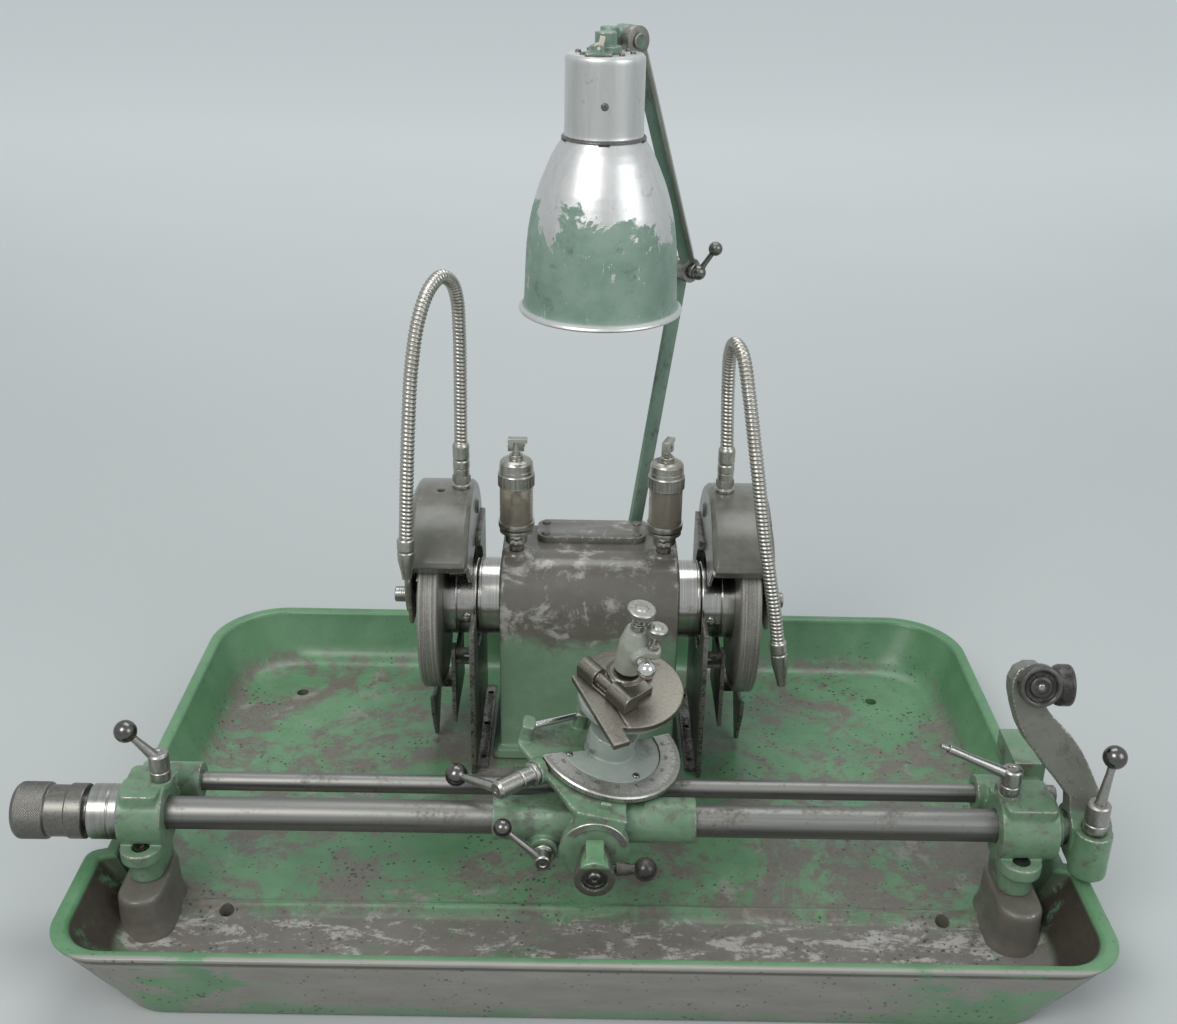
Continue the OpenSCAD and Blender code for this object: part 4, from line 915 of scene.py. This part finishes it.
gooseneck("left", [(-130, 122, 345), (-129, 122, 470), (-130, 117, 500), (-134, 106, 519), (-142, 90, 528),
                   (-151, 71, 521), (-159, 54, 499), (-165, 39, 460), (-168, 26, 412), (-170, 16, 365),
                   (-173, 9, 293)], (-173, 7, 259), 352)
gooseneck("right", [(134, 122, 345), (131, 121, 420), (130, 112, 450), (132, 96, 467), (138, 77, 463),
                    (144, 56, 431), (150, 40, 390), (155, 30, 357), (163, 20, 303), (171, 14, 260),
                    (178, 10, 222), (183, 8, 190)], (189, 5, 150), 352)
b = Build()
for x in (-130, 134):
    b.lathe([(4, 289), (6, 289), (6, 304.2), (9.5, 304.2), (9.5, 307.8), (8, 308.6), (8, 325), (4, 325),
             (4, 289.01)], (x, 122, 0), Z, 48, 0.4)
    b.M = T(x, 122, 308)
    b.prism(hexagon(9.2), 2, 9)
    b.M = Matrix.Identity(4)
b.make("hose_union_turned", "hose_unions")


# ---------------------------------------------------------------- drip oilers
def knurl(count, depth, pitch=None, t0=None, t1=None, rmin=0):
    """Radial cuts for a knurled band: straight, or diamond when a pitch is given."""
    def cut(th, t, r):
        if r < rmin or (t0 is not None and not t0 <= t <= t1):
            return 0
        if pitch:
            a = abs(math.sin(count * th / 2 + math.pi * t / pitch))
            b = abs(math.sin(count * th / 2 - math.pi * t / pitch))
            return -depth * (1 - min(1, 1.5 * a * b) ** 0.7)
        return -depth * (1 - abs(math.sin(count * th / 2)) ** 0.8)
    return cut


bevelled("oiler_bases", 0.35)
b = Build()
for x in (-75, 75):
    b.M = T(x, 118, 237.5)
    b.turn([(14.2, 72), (18.4, 72), (18.4, 84.4), (17.4, 85.4), (16.4, 96.6), (14.8, 98.6), (11, 100.3),
            (7, 100.4), (7, 104.4), (6, 105), (1.8, 105), (1.8, 81), (14.2, 81), (14.2, 72.01)], 240, 0.4,
           0.8, knurl(72, 0.55, None, 72.6, 84.2, 17.9))
    b.turn([(16.8, 88.2), (17.3, 88.8), (16.9, 89.6)], 96, 0.2)
b.make("oiler_cap_knurled", "oiler_caps", angle=50)
keep("oiler_glasses")
b = Build()
for x, top in ((-75, 51), (75, 66)):
    b.M = T(x, 118, 237.5)
    b.turn([(5.6, 34), (14.0, 34), (14.0, top), (13.4, top + 0.6), (5.6, top), (5.6, 34.01)], 64, 0.2)
b.make("oil_fill", None, OIL, "base", "oiler_glass", wear=False)
bevelled("oiler_needles", 0.2)
for s in ("left", "right"):
    bevelled("oiler_toggle_" + s, 0.5)

# ---------------------------------------------------------------- brackets and bars
for side in ("left", "right"):
    cast("bracket_" + side, 1.0, 8)


def lever(name, node, base, h, r, tip, ra, rb=0, neck=0.95, extra=None):
    """Clamp lever: stepped hub of radius r, tapered arm of radius ra, ball of radius rb."""
    bx, by, bz = base
    b = Build()
    b.lathe([(0, bz - 4), (5, bz - 4), (5, bz + 0.6), (r - 0.8, bz + 0.6), (r - 0.4, bz + 2.6),
             (r, bz + 3.2), (r, bz + h * 0.34), (r - 0.7, bz + h * 0.36), (r - 0.7, bz + h * 0.40),
             (r, bz + h * 0.42), (r, bz + h - 1.6), (r - 1.6, bz + h), (r * 0.45, bz + h),
             (r * 0.4, bz + h - 0.8), (0, bz + h - 0.8)], (bx, by, 0), Z, 64, 0.5)
    b.taper((bx, by, bz + h - 8), tip, [(ra * 1.15, 0), (ra * 1.1, 0.25), (ra * 0.8, 0.7), (ra * neck, 0.9),
                                        (ra * neck, 1)], 40, 0.5)
    if extra:
        b.rod(*extra)
    b.make(name, node)
    if rb:
        grip_ball(name + "_ball", BODY[node], tip, rb)


lever("left_clamp_lever", "bracket_lever_left", (-370, -160, 147), 27, 9, (-393, -166, 199), 4.2, 9.8)
lever("right_clamp_lever", "bracket_lever_right", (367, -160, 147), 25, 9, (309, -160, 191), 4.4, 0, 0.9,
      ((309, -160, 191), (302, -160, 194), 2.4, 2.0))
lever("arm_clamp_lever", "arm_lever", (436, -186, 126), 30, 10.3, (443.5, -180.5, 199), 4.2, 10.2)
b = Build().lathe([(0, -396), (7.2, -396), (8.5, -394.6), (8.5, 422.6), (7.2, 424), (0, 424)],
                  (0, -118, 115), X, 64, 0.3, 40)
b.make("rear_bar_ground", "rear_bar", BARS)
b = Build().lathe([(8.05, -420), (14.25, -420), (14.25, 454.8), (13, 456), (9.5, 456), (9.5, 377),
                   (8.05, 376), (8.05, -419.9)], TUBE, X, 96, 0.4, 40)
b.make("front_tube_ground", "front_tube", BARS)

# ---------------------------------------------------------------- micrometer feed
b = Build().lathe([(14.3, -404), (24, -404), (24, -412), (23.4, -412.5), (23.4, -413.6), (24, -414),
                   (24, -430), (22.6, -431.2), (17.4, -431.6), (17.4, -447.2), (16.6, -448), (8.05, -448),
                   (8.05, -429), (14.3, -428.6), (14.3, -404.1)], TUBE, X, 128, 0.4)
b.make("feed_sleeve_turned", "feed_sleeve", TURNED_X)
b = Build()
b.box((-446, -182.4, 115.1), (-432, -181.9, 115.4), 0.05)
for k in range(10):
    b.box((-447 + k * 1.5, -182.6, 115.5), (-446.8 + k * 1.5, -182.0, 118 if k % 5 else 120.5), 0.04)
marks(b, "feed_sleeve_scale", "base", "dark_steel")
b = Build().lathe([(8.05, -497), (20.6, -497), (22.6, -495.8), (24.3, -493.6), (24.8, -492), (24.8, -469.4),
                   (23.8, -468.2), (22.4, -467), (22.4, -450.4), (24, -449.4), (24, -436), (23.2, -435),
                   (17.45, -435), (17.45, -449.4), (8.05, -449.6), (8.05, -496.9)], TUBE, X, 440, 0.4, 0.42,
                  knurl(72, 0.6, 2.1, -492.2, -469.2, 24.5))
b.make("feed_knob_knurled", "feed_knob", steel("knurled", (0.20, 0.194, 0.177), 0.46, None, 0.35), angle=75)
b = Build()
for k in range(50):
    b.M = T(TUBE) @ R(x=360 * k / 50)
    b.box((-436.6 - (2.0 if k % 5 else 3.6), -0.11, 23.92), (-436.0, 0.11, 24.03), 0.02)
marks(b, "feed_knob_scale", "feed_knob", "dark_steel")
keep("feed_quill")

# ---------------------------------------------------------------- hand arm
cast("arm", 1.0, 8, ARM)
for nm, M in (("front", T_ARM @ T(380, -14, 135) @ R(x=90)), ("side", T_ARM @ T(399, 0, 129) @ R(y=90))):
    b = Build(M).turn([(0, -9), (3, -9), (3, 0), (15.5, 0), (17.2, 1.6), (18.2, 4.4), (18.2, 12.6),
                       (17.4, 14.4), (15.6, 15), (14.2, 14.2), (12.6, 12.2), (9.8, 11.8), (8.8, 14.2),
                       (7.0, 15.0), (3.4, 15.0), (3.0, 14.2), (0, 14.2)], 96, 0.4)
    b.make("grip_" + nm, "arm_knob_" + nm)
    Build(M).turn([(0, 13.4), (2.9, 13.4), (2.9, 14.6), (2.2, 15.1), (0, 15.2)], 32, 0.2).make(
        "grip_stud_" + nm, body="arm_knob_" + nm, slot="bare_steel")

# ---------------------------------------------------------------- carriage
cast("saddle", 0.9, 7)
cast("pivot_horn", 0.7, 6, HORN)
b = Build()
b.lathe([(0, 0), (5.8, 0), (5.8, 1.2), (4.6, 2.2), (2.6, 2.3), (2.2, 1.2), (0, 1.2)], (7, -234, 107),
        (0, -1, 0), 40, 0.2)
b.lathe([(8.6, 0), (10.8, 0), (10.8, 1.1), (8.6, 1.1), (8.6, 0.01)], (7, -234.1, 107), (0, -1, 0), 48, 0.2)
b.make("pivot_end_ring", None, MATS["dark_steel"], "carriage", "green_paint")
b = Build()
b.lathe([(0, -10), (5, -10), (5, -2), (9.5, -2), (9.5, 1.2), (8.4, 2), (7.4, 2.4), (7.4, 12.6), (6.4, 14),
         (3.2, 14), (2.8, 13.2), (0, 13.2)], (-37, -195, 100), (0, -1, 0), 48, 0.4)
b.taper((-37, -204, 100), (-71, -207, 136), [(3.7, 0), (3.5, 0.4), (2.6, 0.85), (2.6, 1)], 32)
b.make("saddle_clamp_lever", "saddle_lever")
grip_ball("saddle_lever_ball", "saddle_lever", (-71, -207, 136), 8)
T_SECTOR = T_TILT @ T(0, -200, 0) @ R(x=90)
b = Build(T_SECTOR).arc([(23.6, -1.0), (30.4, -1.0), (30.4, 1.0), (29.9, 1.5), (24, 1.5), (23.6, 1.1)], 28,
                        124, 60)
b.make("tilt_sector", body="tilt", slot="dial_metal", angle=30)
b = Build()
for i in range(-12, 13):
    b.M = T_SECTOR @ R(z=90 + 4.6 * i)
    b.box((29.6 - (4.4 if i % 5 == 0 else 2.8), -0.13, 1.45), (29.6, 0.13, 1.56), 0.02)
marks(b, "tilt_divisions", "tilt", "dial_metal")
b = Build().lathe([(0, 15.5), (4, 15.5), (4, 25), (5.2, 25), (6, 26), (5.6, 33), (4.6, 38), (4.6, 41),
                   (0, 42)], (0, -217, 103), X, 40, 0.4)
b.ball((50, -217, 103), 10.3)
b.make("tilt_clamp_knob", "tilt_knob")
cast("tilt_casting", 0.95, 7)
pa, pb = Vector((-76, -2, 4)), Vector((-24, 32, 4))
L = (pb - pa).length
b = Build(T_DIAL).lathe([(0, 0), (2.2, 0), (3.15, 1.1), (3.15, 6), (2.85, 6.4), (2.85, 7.4), (3.15, 7.8),
                         (3.15, L - 1.2), (2.0, L), (0, L)], pa, pb - pa, 40, 0.3)
b.make("index_pin_turned", "index_pin")
SWA, SWB = Vector((-36, -145, 154)), Vector((-78, -183, 156))
u = (SWB - SWA).normalized()
L = (SWB - SWA).length
b = Build().lathe([(0, 4), (5, 4), (5, 14.4), (11, 14.4), (11, 17.6), (10, 18.4), (8.6, 19), (8.6, 30),
                   (7.9, 30.6), (7.9, 31.6), (8.6, 32.2), (8.6, L - 2.6), (6.4, L), (2.6, L),
                   (2.2, L - 0.8), (0, L - 0.8)], SWA, u, 64, 0.4)
b.taper(SWB - u * 5, (-115, -145, 145), [(4.6, 0), (4.2, 0.45), (3.2, 0.85), (3.2, 1)])
b.make("swivel_clamp_lever", "swivel_lever")
grip_ball("swivel_lever_ball", "swivel_lever", (-115, -145, 145), 10.2)


def dial_parts():
    """Graduated half ring: divisions every degree, numbers every 20."""
    r0, r1, middle = 47.0, 66.0, 299
    ring = [(r0, -6.0), (r1 - 0.6, -6.0), (r1, -5.4), (r1, -1.2), (r1 - 1.2, 0.0), (r0 + 0.4, 0.0),
            (r0, -0.4)]
    Build(T_DIAL).arc(ring, 207, 184, 200).make("dial_ring", "dial", angle=30)
    b = Build()
    for d in range(-90, 91):
        length = 7.0 if d % 10 == 0 else (5.2 if d % 5 == 0 else 3.6)
        w = 0.16 if d % 5 else 0.2
        b.M = T_DIAL @ R(z=middle + d)
        b.box((r1 - 1.4 - length, -w, -0.02), (r1 - 1.4, w, 0.05), 0.02)
        if d % 5 == 0:
            b.box((r1 - 0.05, -w, -4.6), (r1 + 0.04, w, -1.3), 0.02)
    marks(b, "dial_divisions", "swivel", "dial_metal")
    for k in range(-8, 9, 2):
        name = f"dial_number_{k + 8}"
        c = bpy.data.curves.new(name, "FONT")
        c.body = str(abs(k) * 10)
        c.size, c.extrude, c.align_x, c.align_y = 0.0052, 0.00003, "CENTER", "CENTER"
        c.materials.append(INK)
        o = bpy.data.objects.new(name, c)
        scene.collection.objects.link(o)
        M = T_DIAL @ R(z=middle + k * 10) @ T(52.2, 0, 0.04) @ R(z=90)
        M.translation = M.translation * 0.001
        o.matrix_world = M
        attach(o, "swivel")


dial_parts()
cast("table_base", 0.9, 7, TURNTABLE)
b = Build(T_DIAL)
for px, py in ((-35.5, -21), (25, -32)):
    b.lathe([(0, -2.6), (3.1, -2.6), (3.1, -0.1), (2.4, 0.6), (1.0, 0.7), (0.8, -0.3), (0, -0.3)],
            (px, py, 0), Z, 32, 0.2)
b.make("table_base_screws", None, MATS["dark_steel"], "swivel", "cast_dark")
cast("table", 0.7, 5)
cast("clamp_block", 0.6, 5)
cast("clamp_post", 0.6, 6)
M = T_POST @ R(z=-66) @ T(0, 0, 36) @ R(y=90)
b = Build(M).turn([(0, 10.5), (3, 10.5), (3, 17.3), (4.6, 17.6), (4.6, 22), (3.2, 22.6), (2.9, 25),
                   (0, 25.2)], 40, 0.3)
b.ball((0, 0, 29), 8.5)
b.make("post_ball_turned", "post_lever")


def thumb(b, z0, z1, r, slotted=True):
    b.turn([(0, z0), (r * 0.72, z0), (r * 0.98, z0 + 2.4), (r, z0 + 3.2), (r, z1 - 1.0), (r - 1.2, z1),
            (r * 0.46, z1), (r * 0.40, z1 + 0.9), (0, z1 + 1.0)], 180, 0.3, 0.6,
           knurl(60, 0.35, None, z0 + 3, z1 - 0.9, r - 0.4))
    if slotted:
        b.box((-r * 0.36, -0.5, z1 + 0.85), (r * 0.36, 0.5, z1 + 1.15), 0.1)


b = Build(T_POST).turn([(0, 47), (4, 47), (4, 59), (6, 59), (6, 65), (4, 65.4), (4, 75), (0, 75)], 48, 0.4)
thumb(b, 74, 82, 13)
b.make("top_thumbscrew_knurled", "top_thumbscrew", angle=50)
b = Build(T_POST @ T(16.5, -7, 0)).turn([(0, 34), (3, 34), (3, 45.4), (5, 45.6), (5, 49.2), (3, 49.6),
                                         (3, 61), (0, 61)], 40, 0.3)
thumb(b, 60, 69, 9.4, False)
b.make("side_thumbscrew_knurled", "side_thumbscrew", angle=50)

# ---------------------------------------------------------------- lamp
bevelled("lamp_base", 1.0)
bevelled("lamp_lower_arm", 0.7)
bevelled("lamp_upper_arm", 0.7)
cast("lamp_yoke", 0.7, 6)
b = Build().lathe([(0, 2), (3.95, 2), (3.95, 10.6), (8, 10.6), (8, 15), (6.5, 16), (4.6, 17), (0, 18)],
                  ELBOW, LAMP_AXIS, 48, 0.4)
b.ball(ELBOW + LAMP_AXIS * 19, 7.4)
tip = ELBOW + LAMP_AXIS * 27 + Vector((10, 5, 24))
b.taper(ELBOW + LAMP_AXIS * 19, tip, [(3.6, 0), (2.6, 0.4), (2.6, 0.75), (3.4, 1)], 32)
b.ball(tip, 6.8)
b.make("lamp_elbow_lever", "lamp_clamp_lever")


def shade():
    r = [(75.0, -0.4), (75.6, 0.6), (75.2, 2.2), (73.6, 3.6), (71.6, 5.2), (70.6, 9), (70.3, 14),
         (69.9, 24), (69.1, 44), (68.2, 60), (66.8, 73), (64.9, 84), (62.7, 94), (59.9, 104), (57.1, 113),
         (53.7, 121.6), (50.2, 130), (46.2, 139), (42.2, 146), (38.4, 151.6), (36.2, 155), (35.2, 159),
         (35.0, 164), (35.0, 221), (34.6, 223.6), (33.0, 225.6), (30.6, 226), (9, 226), (9, 224.6),
         (30, 224.6), (32.6, 223.6), (33.6, 221), (33.6, 160), (35, 154.6), (37, 150.6), (44.6, 138.4),
         (52.2, 120.6), (58.4, 103), (63.4, 83), (66.7, 60), (67.8, 40), (68.8, 14), (69.2, 8), (70.6, 3.6),
         (72.6, 1.2), (73.4, -0.4), (74.2, -0.9), (75.0, -0.41)]
    b = Build(T_SHADE).turn(r, 192, 0.0, 2.0)
    b.make("shade_spun", "lamp_shade", angle=40)
    b = Build(T_SHADE)
    for k in range(3):
        a = math.radians(-90 + 120 * k)
        b.lathe([(0, -0.4), (3.4, -0.4), (3.4, 0.6), (2.4, 1.6), (0, 1.9)],
                (35 * math.cos(a), 35 * math.sin(a), 186), (math.cos(a), math.sin(a), 0), 24, 0.2)
    for k in range(8):
        a = math.radians(-100 + 45 * k)
        b.lathe([(0, 0), (2.6, 0), (2.6, 1.3), (1.8, 2.2), (0, 2.4)],
                (24 * math.cos(a), 24 * math.sin(a), 226), Z, 20, 0.2)
    b.turn([(33.9, 154.0), (37.6, 154.6), (37.9, 155.6), (36.4, 157.4), (34.2, 158)], 128, 0.2)
    b.make("shade_rivets", None, MATS["dark_steel"], "lamp_head", "lamp_paint")
    b = Build(T_SHADE)
    for k in range(5):
        b.M = T_SHADE @ R(z=72 * k - 90)
        b.box((35.6, -5, 153.2), (37.9, 5, 155.6), 0.5)
    marks(b, "shade_vents", "lamp_head", "lamp_paint")


shade()
keep("lamp_socket")
keep("lamp_bulb")
bevelled("lamp_switch", 0.5)

# ---------------------------------------------------------------- stage
floor = bpy.data.meshes.new("floor")
floor.from_pydata([(-60, -20, 0), (60, -20, 0), (60, 80, 0), (-60, 80, 0)], [], [(0, 1, 2, 3)])
fo = bpy.data.objects.new("floor", floor)
fm = Mat("floor_pale")
# Painted light: the floor is darker near the machine and paler far off, so the far floor reads as evenly
# lit.
fm.set(Base_Color=fm.mix(fm.step(fm.add(fm.xyz(1), fm.mul(fm.noise(1.4, 4, 0.5), 0.3)), 0.55, 4.3),
                         (0.43, 0.452, 0.45), (0.88, 0.915, 0.915)),
       Roughness=fm.lerp(fm.noise(3, 3, 0.5), 0, 1, 0.75, 0.95))
floor.materials.append(fm.m)
scene.collection.objects.link(fo)

world = bpy.data.worlds.new("studio")
world.use_nodes = True
world.node_tree.nodes["Background"].inputs[0].default_value = (0.92, 0.97, 1.0, 1)
world.node_tree.nodes["Background"].inputs[1].default_value = 0.62
scene.world = world


def area(name, loc, target, size, power, color=(1, 1, 1), size_y=None):
    l = bpy.data.lights.new(name, "AREA")
    l.shape = "RECTANGLE"
    l.size, l.size_y, l.energy, l.color = size, size_y or size, power, color
    o = bpy.data.objects.new(name, l)
    o.location = loc
    o.rotation_euler = (Vector(target) - Vector(loc)).to_track_quat("-Z", "Y").to_euler()
    scene.collection.objects.link(o)


area("key", (-1.5, -2.3, 2.9), (0, 0, 0.2), 1.6, 62, (1.0, 0.985, 0.96))
area("fill", (2.4, -1.8, 1.9), (0, 0, 0.2), 1.8, 26, (0.95, 0.98, 1.0))
area("top", (0.1, 0.8, 2.6), (0, 0, 0.2), 1.8, 22, (0.97, 1.0, 1.0), 1.2)

# ---------------------------------------------------------------- camera, at the photograph's angle
SENSOR, FOCAL = 36.0, 1.18946  # film width in mm, focal length in film widths
EYE = Vector((-0.007, -1.165, 0.873))
yaw, pitch, roll = (math.radians(a) for a in (0.21, 24.8, 1.06))
fwd = Vector((math.sin(yaw) * math.cos(pitch), math.cos(yaw) * math.cos(pitch), -math.sin(pitch)))
right = Vector((math.cos(yaw), -math.sin(yaw), 0))
up = right.cross(fwd)
right, up = right * math.cos(roll) + up * math.sin(roll), up * math.cos(roll) - right * math.sin(roll)
cam = bpy.data.cameras.new("camera")
cam.sensor_fit, cam.sensor_width, cam.lens = "HORIZONTAL", SENSOR, FOCAL * SENSOR
cam.clip_end = 200
co = bpy.data.objects.new("camera", cam)
co.matrix_world = Matrix([*zip(right, up, -fwd, EYE), (0, 0, 0, 1)])
scene.collection.objects.link(co)
scene.camera = co
scene.view_settings.view_transform = "Standard"
